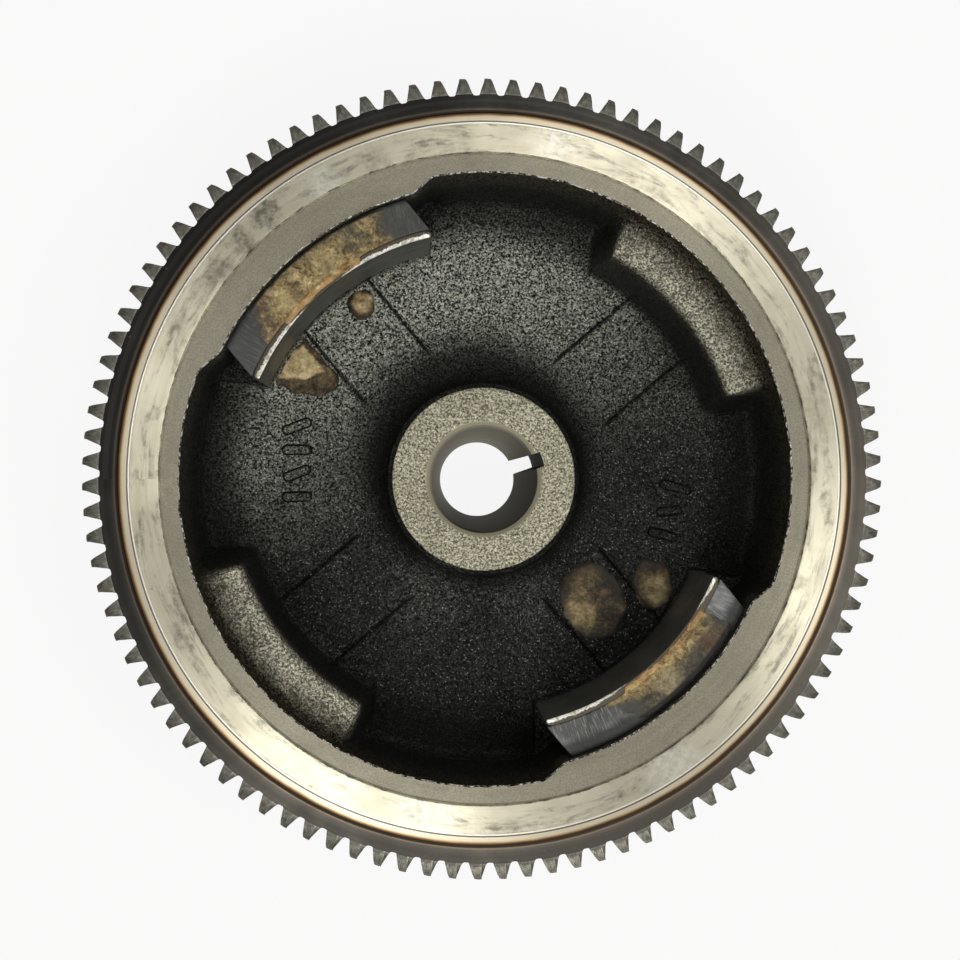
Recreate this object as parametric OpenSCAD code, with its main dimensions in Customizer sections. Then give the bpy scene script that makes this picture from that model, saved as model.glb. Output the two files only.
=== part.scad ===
// Flywheel of a single-cylinder engine with electric start.
// A cast-iron wheel carries a shrunk-on starter ring gear, two charging magnets
// inside its rim and an ignition magnet set in the outside of its rim.
// Z runs along the crankshaft axis. The fan side is down, the open side is up,
// and the origin is the centre of the hub's lower end.

/* [Ring gear] */
// Module of the ring gear teeth
gear_module = 2.5; // [1.5:0.25:4]
// Pressure angle of the teeth
gear_pressure_angle = 20; // [17:0.5:24]
// Face width of the ring gear
gear_width = 12; // [7:0.5:18]
// Least thickness between the tooth roots and the gear's bore
gear_wall = 5.5; // [4:0.5:9]
// Direction of the first tooth
gear_clock = 2.84; // [0:0.1:3.6]
// Drop of the tooth ends from root to tip, which lets the starter pinion in
tooth_end_drop = 1.6; // [0.2:0.1:3]
// Chamfer at the front edge of the gear's bore
gear_bore_chamfer = 1; // [0.2:0.1:2]

/* [Rim] */
// Diameter of the seat that the ring gear is shrunk onto
gear_seat_d = 230; // [190:1:290]
// Radial height of the shoulder behind the ring gear
shoulder = 2; // [1:0.5:3.5]
// Axial width of the rim
rim_width = 48; // [44:1:60]
// Distance from the rim's open face down to the ring gear
gear_setback = 1.5; // [0.5:0.25:4]
// Radial width of the sloping edge beside the ring gear
rim_edge_w = 3.4; // [1:0.1:5]
// Radial width of the turned band on the open face
band_w = 9.2; // [6:0.1:12]
// Radial width of the inner ring of the open face
ring_w = 5.8; // [4:0.1:8]
// Depth of the inner ring below the turned band
ring_step = 1.2; // [0.4:0.1:3]
// Width of the fine groove at the outside of the turned band
groove_w = 0.9; // [0.5:0.1:1.5]
// Depth of that groove
groove_depth = 0.45; // [0.2:0.05:0.8]

/* [Hub and web] */
// Length of the hub, and so of the tapered bore
hub_length = 41; // [36:1:56]
// Diameter of the hub's face inside the cavity
hub_d = 61; // [54:1:74]
// Diameter of the boss on the fan side
boss_d = 66; // [56:1:80]
// Bore diameter at its large end, under the chamfer
bore_d = 35; // [30:0.5:42]
// Length over which the bore narrows by 1 mm in diameter
taper_ratio = 5; // [5:0.5:12]
// Radial width of the chamfer at the bore's large end
bore_chamfer = 1.8; // [0.5:0.1:2.5]
// Width of the keyway
key_w = 5; // [3:0.5:8]
// Depth of the keyway floor outside the large end of the bore
key_depth = 3.3; // [1.5:0.1:4]
// Direction of the keyway
key_angle = 19; // [0:0.5:360]
// Depth of the hub's face below the rim's open face
hub_recess = 28; // [20:1:34]
// Depth of the web below the rim's open face
cavity_depth = 40; // [34:1:48]
// Thickness of the web
web_t = 9; // [7:0.5:13]
// Radius of the hollow corner between web and rim
wall_fillet = 4.5; // [2:0.5:8]
// Draft of the cavity wall over its height
wall_draft = 1.6; // [0.5:0.1:4]
// Width of the raised bands that run out to the pads
rib_w = 27; // [18:1:32]
// Height of those bands above the web
rib_h = 0.8; // [0.4:0.1:2]

/* [Cast pads] */
// Direction of the first cast pad; the magnets are a quarter turn on
pad_angle = 40; // [0:1:89]
// Angle that a cast pad spans
pad_span = 45; // [30:1:48]
// Radial thickness of a cast pad
pad_t = 15; // [9:0.5:18]
// Depth of a cast pad's top below the rim's open face
pad_recess = 9; // [6:0.5:14]
// Rounding of a cast pad's upper edge
pad_round = 4; // [1:0.5:5]

/* [Charging magnets] */
// Width of a charging magnet between its flat ends
magnet_w = 73; // [56:1:78]
// Radial thickness of a charging magnet
magnet_t = 11.3; // [8:0.1:14]
// Axial length of a charging magnet
magnet_length = 31; // [25:1:34]
// Depth of a magnet's end below the rim's open face
magnet_recess = 5; // [3:0.5:8]
// Thickness of the pole shoe on the magnet's inner face
shoe_t = 2.5; // [1.5:0.1:4]
// Distance that a pole shoe's ends stop short of the magnet's ends
shoe_inset = 0.8; // [0:0.1:3]
// Thickness of the adhesive between a magnet and its seat
bond_t = 0.3; // [0.2:0.05:0.8]
// Distance that a magnet seat stands in from the cavity wall
seat_t = 4; // [2.5:0.5:7]
// Thickness of the adhesive smeared over a magnet's end
smear_t = 0.4; // [0.2:0.1:1]

/* [Ignition magnet] */
// Direction of the ignition magnet
ignition_angle = 270; // [0:1:360]
// Axial length of the ignition pole shoes
pole_length = 25; // [18:0.5:27]
// Width of one ignition pole shoe
pole_w = 14.5; // [11:0.5:17]
// Width of the ignition magnet between the pole shoes
ignition_magnet_w = 16; // [10:0.5:20]
// Depth of the pocket below the rim's surface
pocket_depth = 10; // [7:0.5:11]
// Gap of potting between the pole shoes and the pocket walls
potting_gap = 0.7; // [0.4:0.1:1.5]
// Depth of the ignition magnet below the pole shoes' outer faces
magnet_sink = 3; // [1.5:0.5:4]
// Diameter of the pole shoe screws
screw_d = 5; // [4:0.5:6]
// Length of the pole shoe screws in the casting
screw_grip = 7; // [5:0.5:8]

/* [Fan side] */
// Diameter of the circle of holes that take the fan's lugs
lug_circle_d = 130; // [110:1:150]
// Number of lug holes
lug_count = 4; // [3:1:6]
// Diameter of a lug hole
lug_hole_d = 8; // [5:0.5:10]
// Depth of a lug hole
lug_hole_depth = 5; // [3:0.5:6]
// Diameter of a balancing hole in the rim
balance_hole_d = 10; // [6:0.5:12]
// Depth of a balancing hole
balance_hole_depth = 11; // [4:0.5:14]

/* [Hidden] */
$fn = 240;

eps = 0.01;         // overshoot of cuts
arc_steps = 6;      // segments in a rounded stretch of an outline
flank_steps = 3;    // segments along a tooth flank

// Levels along the axis
hub_top = hub_length;
rim_top = hub_top + hub_recess;
rim_bottom = rim_top - rim_width;
ring_top = rim_top - ring_step;
web_top = rim_top - cavity_depth;
web_bottom = web_top - web_t;
pad_top = rim_top - pad_recess;
magnet_top = rim_top - magnet_recess;
magnet_bottom = magnet_top - magnet_length;
gear_top = rim_top - gear_setback;
gear_bottom = gear_top - gear_width;

// Radii of the rim and what sits in it
gear_seat_r = gear_seat_d / 2;
rim_r = gear_seat_r + shoulder;
band_outer_r = gear_seat_r - rim_edge_w;
band_inner_r = band_outer_r - band_w;
cavity_r = band_inner_r - ring_w;
seat_r = cavity_r - seat_t;
magnet_outer_r = seat_r - bond_t;
magnet_inner_r = magnet_outer_r - magnet_t;
shoe_inner_r = magnet_inner_r - shoe_t;
pad_inner_r = cavity_r - pad_t;
wall_foot_r = cavity_r - wall_draft;

// Teeth: as many as leave the least wall over the seat
tooth_count = ceil(2 * (gear_seat_r + gear_wall) / gear_module + 2.5);
pitch_r = gear_module * tooth_count / 2;
tip_r = pitch_r + gear_module;
root_r = pitch_r - 1.25 * gear_module;
base_r = pitch_r * cos(gear_pressure_angle);
bevel_r = root_r + 0.3;     // the tooth ends start to slope just outside the roots
blank_r = tip_r + 1;
blank_drop = tooth_end_drop * (blank_r - bevel_r) / (tip_r - bevel_r);

// Hub and bore
hub_r = hub_d / 2;
boss_r = boss_d / 2;
hub_fillet = hub_top - web_top;
bore_r = bore_d / 2;
bore_small_r = bore_r - hub_length / taper_ratio / 2;
key_floor_r = bore_r + key_depth;
edge_break = 1;

// Magnet seats
magnet_angles = [pad_angle + 90, pad_angle + 270];
seat_margin = 0.8;  // metal of the seat beside the magnet's corner
seat_chord = sqrt(magnet_outer_r ^ 2 - (magnet_w / 2) ^ 2) - seat_margin;
ledge_inner_r = shoe_inner_r + 0.5;
ledge_w = magnet_w + 4;

// Ignition magnet: x runs along the rim, y outwards
pocket_w = ignition_magnet_w + 2 * pole_w + 2 * potting_gap;
pocket_h = pole_length + 2 * potting_gap;
pocket_floor_y = rim_r - pocket_depth;
pocket_mid_z = (rim_bottom + gear_bottom) / 2;
screw_x = ignition_magnet_w / 2 + pole_w / 2;
screw_head_d = 1.84 * screw_d;
head_sink = 0.3;    // screw heads stay this far under the pole shoes' faces
screw_head_y = sqrt(rim_r ^ 2 - (screw_x + screw_head_d / 2) ^ 2) - head_sink;
screw_head_h = (screw_head_d - screw_d) / 2;
screw_tip_gap = 0.5;
socket_w = 0.6 * screw_d;
socket_depth = 0.45 * screw_d;
skin = 0.4;         // potting stays this far under the rim's surface

// Points on an arc about a centre, from one direction to another
function arc(centre, r, from, to, steps = arc_steps) = [
    for (i = [0:steps]) centre + r * [
        cos(from + (to - from) * i / steps),
        sin(from + (to - from) * i / steps)
    ]
];

// Angle between an involute's start and its point at radius r
function involute_angle(r) = let (a = acos(base_r / r)) tan(a) * 180 / PI - a;

// Half the angle that a tooth spans at radius r
function half_tooth(r) =
    90 / tooth_count + involute_angle(pitch_r) - involute_angle(r);

// Radii down one flank; they start above the rounded root
root_round = 0.35 * gear_module;
function flank_r(i) = root_r + root_round + (tip_r - root_r - root_round) * i / flank_steps;

// One tooth and the root beside it, as polar points [angle, radius]
function tooth_outline() = concat(
    [for (i = [0:flank_steps]) [-half_tooth(flank_r(i)), flank_r(i)]],
    [for (i = [flank_steps:-1:0]) [half_tooth(flank_r(i)), flank_r(i)]],
    [for (share = [0.3, 0.7])
        let (gap = 360 / tooth_count - 2 * half_tooth(flank_r(0)))
        [half_tooth(flank_r(0)) + gap * share, root_r]
    ]
);

// Arc-shaped block with flat, parallel ends
module arc_block(inner, outer, width, low, high, angle) {
    rotate([0, 0, angle])
        intersection() {
            difference() {
                translate([0, 0, low]) cylinder(r = outer, h = high - low);
                translate([0, 0, low - 1]) cylinder(r = inner, h = high - low + 2);
            }
            translate([0, -width / 2, low - 1])
                cube([outer + 1, width, high - low + 2]);
        }
}

// ---- Casting ----

// Half section of the turned and cast wheel, without its bore
module wheel_section() {
    polygon(concat(
        [[0, 0], [boss_r - edge_break, 0], [boss_r, edge_break]],
        arc([boss_r + 6, web_bottom - 6], 6, 180, 90),
        [[cavity_r - 3, web_bottom], [cavity_r, rim_bottom], [rim_r - edge_break, rim_bottom],
         [rim_r, rim_bottom + edge_break], [rim_r, gear_bottom], [gear_seat_r, gear_bottom],
         [gear_seat_r, gear_top], [band_outer_r + groove_w / 2, rim_top],
         [band_outer_r, rim_top - groove_depth], [band_outer_r - groove_w / 2, rim_top],
         [band_inner_r, rim_top], [band_inner_r, ring_top], [cavity_r, ring_top]],
        arc([wall_foot_r - wall_fillet, web_top + wall_fillet], wall_fillet, 0, -90),
        arc([hub_r + hub_fillet, hub_top], hub_fillet, -90, -180),
        [[0, hub_top]]
    ));
}

// Raised bands on the web, one towards each pad and magnet
module ribs() {
    intersection() {
        translate([0, 0, web_top - 1])
            cylinder(r = cavity_r - wall_draft - wall_fillet / 2, h = 1 + rib_h);
        for (quarter = [0:3])
            rotate([0, 0, pad_angle + 90 * quarter])
                translate([hub_r + hub_fillet / 2, -rib_w / 2, web_top - 2])
                    cube([cavity_r, rib_w, 4]);
    }
}

// Cast pad that balances the magnets; its top slopes in and is rounded
module cast_pad(angle) {
    rotate([0, 0, angle - pad_span / 2])
        rotate_extrude(angle = pad_span)
            polygon(concat(
                [[pad_inner_r, web_top - 1], [cavity_r + 1, web_top - 1], [cavity_r + 1, pad_top + 2]],
                [[cavity_r - 2, pad_top + 1]],
                arc([pad_inner_r + pad_round, pad_top - pad_round], pad_round, 90, 180)
            ));
}

// Flat-faced seat, bored out for a charging magnet, and the ledge under the magnet
module magnet_seat(angle) {
    rotate([0, 0, angle])
        difference() {
            intersection() {
                translate([0, 0, web_top - 1]) cylinder(r = cavity_r + 1, h = ring_top - web_top + 1);
                translate([seat_chord, -cavity_r, web_top - 2]) cube([cavity_r, 2 * cavity_r, rim_width]);
            }
            translate([0, 0, web_top - 2]) cylinder(r = seat_r, h = rim_width);
        }
    arc_block(ledge_inner_r, cavity_r + 1, ledge_w, web_top - 1, magnet_bottom, angle);
}

module tapered_bore() {
    translate([0, 0, -eps])
        cylinder(r1 = bore_small_r, r2 = bore_r, h = hub_length + 2 * eps);
    translate([0, 0, hub_top - bore_chamfer])
        cylinder(r1 = bore_r - eps, r2 = bore_r + bore_chamfer + eps, h = bore_chamfer + eps);
    rotate([0, 0, key_angle])
        translate([0, -key_w / 2, -1])
            cube([key_floor_r, key_w, hub_length + 2]);
}

module lug_holes() {
    for (i = [0:lug_count - 1])
        rotate([0, 0, pad_angle + 360 * i / lug_count])
            translate([lug_circle_d / 2, 0, web_bottom - 1])
                cylinder(d = lug_hole_d, h = lug_hole_depth + 1);
}

// Drilled opposite the ignition magnet
module balance_holes() {
    for (side = [-1, 1])
        rotate([0, 0, ignition_angle + 180 + side * 6])
            translate([(cavity_r + rim_r) / 2, 0, rim_bottom - 1])
                cylinder(d = balance_hole_d, h = balance_hole_depth + 1);
}

module flywheel_casting() {
    color([0.16, 0.16, 0.16])
        difference() {
            union() {
                rotate_extrude() wheel_section();
                ribs();
                for (angle = [pad_angle, pad_angle + 180]) cast_pad(angle);
                for (angle = magnet_angles) magnet_seat(angle);
            }
            tapered_bore();
            lug_holes();
            balance_holes();
            at_ignition() pocket(0, pocket_depth + 5);
            at_ignition() screw_holes(screw_grip + screw_tip_gap);
        }
}

// ---- Ring gear ----

module ring_gear() {
    color([0.22, 0.22, 0.23])
        intersection() {
            rotate([0, 0, gear_clock])
                translate([0, 0, gear_bottom - 1])
                    linear_extrude(gear_width + 2)
                        polygon([
                            for (k = [0:tooth_count - 1], p = tooth_outline())
                                let (a = 360 * k / tooth_count + p[0])
                                p[1] * [cos(a), sin(a)]
                        ]);
            rotate_extrude()
                polygon([
                    [gear_seat_r, gear_bottom], [blank_r, gear_bottom],
                    [blank_r, gear_top - blank_drop], [bevel_r, gear_top],
                    [gear_seat_r + gear_bore_chamfer, gear_top],
                    [gear_seat_r, gear_top - gear_bore_chamfer]
                ]);
        }
}

// ---- Charging magnets ----

module charging_magnet(angle) {
    color([0.25, 0.27, 0.30])
        arc_block(magnet_inner_r, magnet_outer_r, magnet_w, magnet_bottom, magnet_top, angle);
}

module charging_pole_shoe(angle) {
    color([0.30, 0.30, 0.31])
        arc_block(shoe_inner_r, magnet_inner_r, magnet_w - 2 * shoe_inset,
                  magnet_bottom, magnet_top, angle);
}

module magnet_bond(angle) {
    color([0.45, 0.33, 0.16])
        arc_block(magnet_outer_r, seat_r, magnet_w, magnet_bottom, magnet_top, angle);
}

// Adhesive wiped over the middle of the magnet's end
module adhesive_smear(angle) {
    color([0.55, 0.42, 0.22])
        arc_block(magnet_inner_r + 0.5, magnet_outer_r - 1, magnet_w * 0.62,
                  magnet_top, magnet_top + smear_t, angle);
}

// ---- Ignition magnet set ----

// Children are drawn with y outwards and z along the wheel's axis
module at_ignition() {
    rotate([0, 0, ignition_angle - 90]) children();
}

module block(x0, x1, y0, y1, height) {
    translate([x0, y0, pocket_mid_z - height / 2])
        cube([x1 - x0, y1 - y0, height]);
}

module pocket(inset, depth) {
    block(-pocket_w / 2 + inset, pocket_w / 2 - inset, pocket_floor_y,
          pocket_floor_y + depth, pocket_h - 2 * inset);
}

// Holes for the pole shoe screws, running inwards from the pocket floor
module screw_holes(depth) {
    for (side = [-1, 1])
        translate([side * screw_x, pocket_floor_y + eps, pocket_mid_z])
            rotate([90, 0, 0]) cylinder(d = screw_d, h = depth);
}

// Countersunk screw, with a straight way out above its head if head_room is set
module screw_body(side, head_room = 0) {
    translate([side * screw_x, screw_head_y, pocket_mid_z])
        rotate([90, 0, 0])
            rotate_extrude()
                polygon(concat(
                    head_room > 0 ? [[0, -head_room], [screw_head_d / 2, -head_room]] : [[0, 0]],
                    [[screw_head_d / 2, 0], [screw_d / 2, screw_head_h],
                     [screw_d / 2, screw_head_y - pocket_floor_y + screw_grip],
                     [0, screw_head_y - pocket_floor_y + screw_grip]]
                ));
}

module ignition_pole_shoe(side) {
    color([0.50, 0.50, 0.49])
        at_ignition()
            difference() {
                intersection() {
                    block(side > 0 ? ignition_magnet_w / 2 : -ignition_magnet_w / 2 - pole_w,
                          side > 0 ? ignition_magnet_w / 2 + pole_w : -ignition_magnet_w / 2,
                          pocket_floor_y, rim_r, pole_length);
                    cylinder(r = rim_r, h = rim_top);
                }
                screw_body(side, head_room = pocket_depth);
            }
}

module ignition_magnet() {
    color([0.20, 0.21, 0.23])
        at_ignition()
            block(-ignition_magnet_w / 2, ignition_magnet_w / 2, pocket_floor_y,
                  rim_r - magnet_sink, pole_length);
}

// Potting that fills the pocket around the pole shoes and over the magnet
module ignition_potting() {
    color([0.12, 0.12, 0.13])
        at_ignition()
            difference() {
                intersection() {
                    pocket(0, pocket_depth);
                    cylinder(r = rim_r - skin, h = rim_top);
                }
                block(-ignition_magnet_w / 2 - pole_w, ignition_magnet_w / 2 + pole_w,
                      pocket_floor_y - 1, rim_r - magnet_sink, pole_length);
                for (side = [-1, 1])
                    block(side > 0 ? ignition_magnet_w / 2 : -ignition_magnet_w / 2 - pole_w,
                          side > 0 ? ignition_magnet_w / 2 + pole_w : -ignition_magnet_w / 2,
                          pocket_floor_y - 1, rim_r + 1, pole_length);
            }
}

module pole_shoe_screw(side) {
    color([0.60, 0.60, 0.60])
        at_ignition()
            difference() {
                screw_body(side);
                translate([side * screw_x, screw_head_y + 1, pocket_mid_z])
                    rotate([90, 0, 0])
                        cylinder(d = socket_w / cos(30), h = socket_depth + 1, $fn = 6);
            }
}

flywheel_casting();
ring_gear();
charging_magnet(magnet_angles[0]);  // charging_magnet_a
charging_magnet(magnet_angles[1]);  // charging_magnet_b
charging_pole_shoe(magnet_angles[0]);  // charging_pole_shoe_a
charging_pole_shoe(magnet_angles[1]);  // charging_pole_shoe_b
magnet_bond(magnet_angles[0]);  // magnet_bond_a
magnet_bond(magnet_angles[1]);  // magnet_bond_b
adhesive_smear(magnet_angles[0]);  // adhesive_smear_a
adhesive_smear(magnet_angles[1]);  // adhesive_smear_b
ignition_magnet();
ignition_pole_shoe(-1);  // ignition_pole_shoe_left
ignition_pole_shoe(1);  // ignition_pole_shoe_right
ignition_potting();
pole_shoe_screw(-1);  // pole_shoe_screw_left
pole_shoe_screw(1);  // pole_shoe_screw_right
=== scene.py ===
import math

import bmesh
import bpy
import numpy as np
from mathutils import Matrix, Vector


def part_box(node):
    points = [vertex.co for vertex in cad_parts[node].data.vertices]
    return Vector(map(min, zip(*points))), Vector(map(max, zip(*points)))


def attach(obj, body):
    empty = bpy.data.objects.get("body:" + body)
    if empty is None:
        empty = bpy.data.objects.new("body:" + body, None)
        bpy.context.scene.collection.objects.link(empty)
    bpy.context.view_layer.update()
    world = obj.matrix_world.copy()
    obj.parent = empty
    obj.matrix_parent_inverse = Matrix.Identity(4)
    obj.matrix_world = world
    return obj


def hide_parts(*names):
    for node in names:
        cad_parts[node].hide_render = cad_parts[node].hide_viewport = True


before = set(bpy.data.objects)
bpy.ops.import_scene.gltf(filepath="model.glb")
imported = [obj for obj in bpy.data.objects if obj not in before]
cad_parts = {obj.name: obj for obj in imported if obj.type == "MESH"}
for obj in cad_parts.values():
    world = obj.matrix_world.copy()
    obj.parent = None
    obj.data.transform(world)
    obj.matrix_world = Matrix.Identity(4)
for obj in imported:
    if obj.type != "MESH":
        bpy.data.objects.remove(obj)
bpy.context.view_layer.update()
mm = 0.001
print("frame loaded")


def latticeValue(ix, iy, iz, seed):
    # a fixed pseudo-random value from 0 to 1 for each lattice point
    h = (ix * 374761393 + iy * 668265263 + iz * 1440662683 + seed * 69069) & 0xFFFFFFFF
    h = ((h ^ (h >> 13)) * 1274126177) & 0xFFFFFFFF
    h = ((h ^ (h >> 16)) * 668265263) & 0xFFFFFFFF
    return ((h >> 8) & 0xFFFF) / 65535.0


def softNoise(points, size, seed):
    # smooth noise from -1 to 1; size is the width of one lump
    scaled = np.asarray(points, float) / size
    base = np.floor(scaled).astype(np.int64)
    f = scaled - base
    f = f * f * (3 - 2 * f)
    total = 0.0
    for corner in np.ndindex(2, 2, 2):
        weight = np.prod([f[..., k] if up else 1 - f[..., k] for k, up in enumerate(corner)], axis=0)
        total = total + weight * latticeValue(*(base[..., k] + corner[k] for k in range(3)), seed)
    return total * 2 - 1


def lumpyNoise(points, size, seed, octaves=3):
    total, reach = 0.0, 0.0
    for k in range(octaves):
        total = total + softNoise(points, size / 2 ** k, seed + k) / 2 ** k
        reach += 1 / 2 ** k
    return total / reach


def ease(low, high, value):
    # smooth step from 0 at low to 1 at high; works either way round
    t = np.clip((np.asarray(value, float) - low) / (high - low), 0, 1)
    return t * t * (3 - 2 * t)


def turnTo(degrees, centre):
    # signed difference of two directions, in degrees
    return (np.asarray(degrees, float) - centre + 180) % 360 - 180


def polar(radius, degrees, height):
    a = np.radians(degrees)
    return np.stack(np.broadcast_arrays(radius * np.cos(a), radius * np.sin(a), height), axis=-1)


def spin(x, y, degrees):
    # turns a place or a direction round the wheel's axis
    c, s = math.cos(math.radians(degrees)), math.sin(math.radians(degrees))
    return x * c - y * s, x * s + y * c


def link(name, data):
    made = bpy.data.objects.new(name, data)
    bpy.context.scene.collection.objects.link(made)
    return made


def smooth(piece, angle):
    piece.data.shade_smooth()
    piece.data.set_sharp_from_angle(angle=math.radians(angle))


def paint(piece, name, domain, values):
    # stores one number for each point or face of a piece
    mark = piece.data.attributes.new(name, "FLOAT", domain)
    mark.data.foreach_set("value", np.array(values, np.float32))


def makePiece(name, verts, faces, materials, faceSlots=None, sharpAngle=35):
    mesh = bpy.data.meshes.new(name)
    mesh.from_pydata((np.asarray(verts, float).reshape(-1, 3) * mm).tolist(), [], faces)
    for material in materials:
        mesh.materials.append(material)
    if faceSlots is not None:
        mesh.polygons.foreach_set("material_index", np.asarray(faceSlots, np.int32))
    mesh.update()
    piece = link(name, mesh)
    smooth(piece, sharpAngle)
    return piece


def gridFaces(rows, columns, wrapRows=False, wrapColumns=False, start=0, flip=False):
    # quads over a grid whose point (i, j) has the number start + i * columns + j
    faces = []
    for i in range(rows if wrapRows else rows - 1):
        here, there = start + i * columns, start + (i + 1) % rows * columns
        for j in range(columns if wrapColumns else columns - 1):
            k = (j + 1) % columns
            quad = (here + j, there + j, there + k, here + k)
            faces.append(quad[::-1] if flip else quad)
    return faces


def loftPiece(name, loops, materials, **options):
    # joins closed loops of equal length into a solid and caps both ends
    loops = np.asarray(loops, float)
    count, around = loops.shape[:2]
    faces = gridFaces(count, around, wrapColumns=True)
    faces.append(tuple(range(around)))
    faces.append(tuple(range(count * around - 1, (count - 1) * around - 1, -1)))
    piece = makePiece(name, loops, faces, materials, **options)
    faceOut(piece)
    return piece


def faceOut(piece, weld=False):
    # turns every face outwards, after joining the doubled points if asked to
    work = bmesh.new()
    work.from_mesh(piece.data)
    if weld:
        bmesh.ops.remove_doubles(work, verts=work.verts, dist=0.002 * mm)
        bmesh.ops.dissolve_limit(work, angle_limit=math.radians(0.6), verts=work.verts, edges=work.edges)
    bmesh.ops.recalc_face_normals(work, faces=work.faces)
    work.to_mesh(piece.data)
    work.free()


def bakeModifiers(piece):
    # turns the evaluated result into a plain mesh and clears the modifiers
    graph = bpy.context.evaluated_depsgraph_get()
    mesh = bpy.data.meshes.new_from_object(piece.evaluated_get(graph), depsgraph=graph)
    piece.modifiers.clear()
    piece.data = mesh


def grow(piece, group, angle, values):
    # runs a Geometry Nodes group on a piece with the named values and bakes the result
    modifier = piece.modifiers.new(group, "NODES")
    modifier.node_group = bpy.data.node_groups[group]
    for item in modifier.node_group.interface.items_tree:
        if item.in_out == "INPUT" and item.name in values:
            modifier[item.identifier] = values[item.name]
    bakeModifiers(piece)
    faceOut(piece)
    smooth(piece, angle)


def cadCopy(name, node, material, bevel):
    # merged copy of a CAD node, with its edges rounded
    piece = link(name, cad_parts[node].data.copy())
    faceOut(piece, weld=True)
    piece.data.materials.clear()
    piece.data.materials.append(material)
    if bevel:
        rounding = piece.modifiers.new("rounding", "BEVEL")
        rounding.width = bevel * mm
        rounding.segments = 3
        rounding.limit_method = "ANGLE"
        rounding.angle_limit = math.radians(32)
        bakeModifiers(piece)
    smooth(piece, 30)
    return piece


def standFor(piece, node):
    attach(piece, "root")
    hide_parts(node)


def rideOnly(piece):
    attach(piece, "root")


building = {}  # the node tree, shader and material that the functions below work on


class Field:
    # an output of a node, to be reckoned with like a number
    def __init__(self, socket):
        self.socket = socket

    def __abs__(self):
        return calc("ABSOLUTE", self)


for sign, operation in (("add", "ADD"), ("sub", "SUBTRACT"), ("mul", "MULTIPLY"), ("truediv", "DIVIDE")):
    setattr(Field, f"__{sign}__", lambda first, second, name=operation: calc(name, first, second))
    setattr(Field, f"__r{sign}__", lambda second, first, name=operation: calc(name, first, second))


def feed(socket, value):
    if isinstance(value, Field):
        building["tree"].links.new(value.socket, socket)
    elif value is not None:
        socket.default_value = (*value, 1) if socket.type == "RGBA" else value


def add(kind, ins=None, **settings):
    node = building["tree"].nodes.new(kind)
    for key, value in settings.items():
        setattr(node, key, value)
    for key, value in (ins or {}).items():
        feed(node.inputs[key], value)
    return node


def fields(node):
    return {socket.name: Field(socket) for socket in node.outputs}


def get(kind, ins=None, output=0, **settings):
    return Field(add(kind, ins, **settings).outputs[output])


def calc(operation, *values, clamp=False):
    return get("ShaderNodeMath", dict(enumerate(values)), operation=operation, use_clamp=clamp)


def vectorMath(operation, first, second, output=0):
    return get("ShaderNodeVectorMath", {0: first, 3 if operation == "SCALE" else 1: second}, output,
               operation=operation)


def dot(first, second):
    return vectorMath("DOT_PRODUCT", first, second, "Value")


def vector(x, y, z=0.0):
    return get("ShaderNodeCombineXYZ", {"X": x, "Y": y, "Z": z})


def painted(name):
    return get("ShaderNodeAttribute", output="Fac", attribute_name=name)


def blend(amount, first, second):
    return get("ShaderNodeMix", {0: amount, 6: first, 7: second}, 2, data_type="RGBA")


def step(value, low, high, toLow=0.0, toHigh=1.0):
    # maps low..high to toLow..toHigh smoothly, held at both ends
    return get("ShaderNodeMapRange", {"Value": value, "From Min": low, "From Max": high, "To Min": toLow,
                                      "To Max": toHigh}, interpolation_type="SMOOTHSTEP")


def ramp(value, stops):
    node = add("ShaderNodeValToRGB", {"Fac": value})
    elements = node.color_ramp.elements
    while len(elements) < len(stops):
        elements.new(0.5)
    for element, (position, colour) in zip(elements, stops):
        element.position = position
        element.color = (*colour, 1)
    return Field(node.outputs["Color"])


def noiseAt(where, scale, detail=3.0, rough=0.55, distortion=0.0):
    return get("ShaderNodeTexNoise", {"Vector": where, "Scale": scale, "Detail": detail,
                                      "Roughness": rough, "Distortion": distortion}, "Fac")


def newTree(name, kind, inputs, outputs):
    # inputs and outputs: name -> kind of socket, or a default from which the kind follows
    tree = building["tree"] = bpy.data.node_groups.new(name, kind + "NodeTree")
    for side, sockets in (("INPUT", inputs), ("OUTPUT", outputs)):
        for key, value in sockets.items():
            kind = value if isinstance(value, str) else "Float" if isinstance(value, float) else "Vector"
            socket = tree.interface.new_socket(key, in_out=side, socket_type="NodeSocket" + kind)
            if not isinstance(value, str):
                socket.default_value = value
    return fields(add("NodeGroupInput")), add("NodeGroupOutput").inputs


def newGroup(name, outputs, **inputs):
    return newTree(name, "Shader", {"Vector": "Vector", **inputs}, dict.fromkeys(outputs, "Float"))


def useGroup(name, *values):
    # the values go to the group's inputs in their order
    node = add("ShaderNodeGroup", node_tree=bpy.data.node_groups[name])
    for socket, value in zip(node.inputs, values):
        feed(socket, value)
    return fields(node)


def newMaterial(name):
    material = building["material"] = bpy.data.materials.new(name)
    material.use_nodes = True
    building["tree"] = material.node_tree
    material.node_tree.nodes.clear()
    building["shader"] = add("ShaderNodeBsdfPrincipled")
    add("ShaderNodeOutputMaterial", {"Surface": Field(building["shader"].outputs[0])}).location = (300, 0)
    return get("ShaderNodeTexCoord", output="Object")


def dress(**values):
    names = {"colour": "Base Color", "rough": "Roughness", "metal": "Metallic", "normal": "Normal",
             "specular": "Specular IOR Level", "anisotropic": "Anisotropic",
             "turnedBy": "Anisotropic Rotation", "tangent": "Tangent",
             "glow": "Emission Strength", "glowColour": "Emission Color"}
    for key, value in values.items():
        feed(building["shader"].inputs[names[key]], value)
    return building["material"]


def bump(height, distance, strength=1.0, under=None):
    return get("ShaderNodeBump", {"Height": height, "Distance": distance * mm, "Strength": strength,
                                  "Normal": under})


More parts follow.
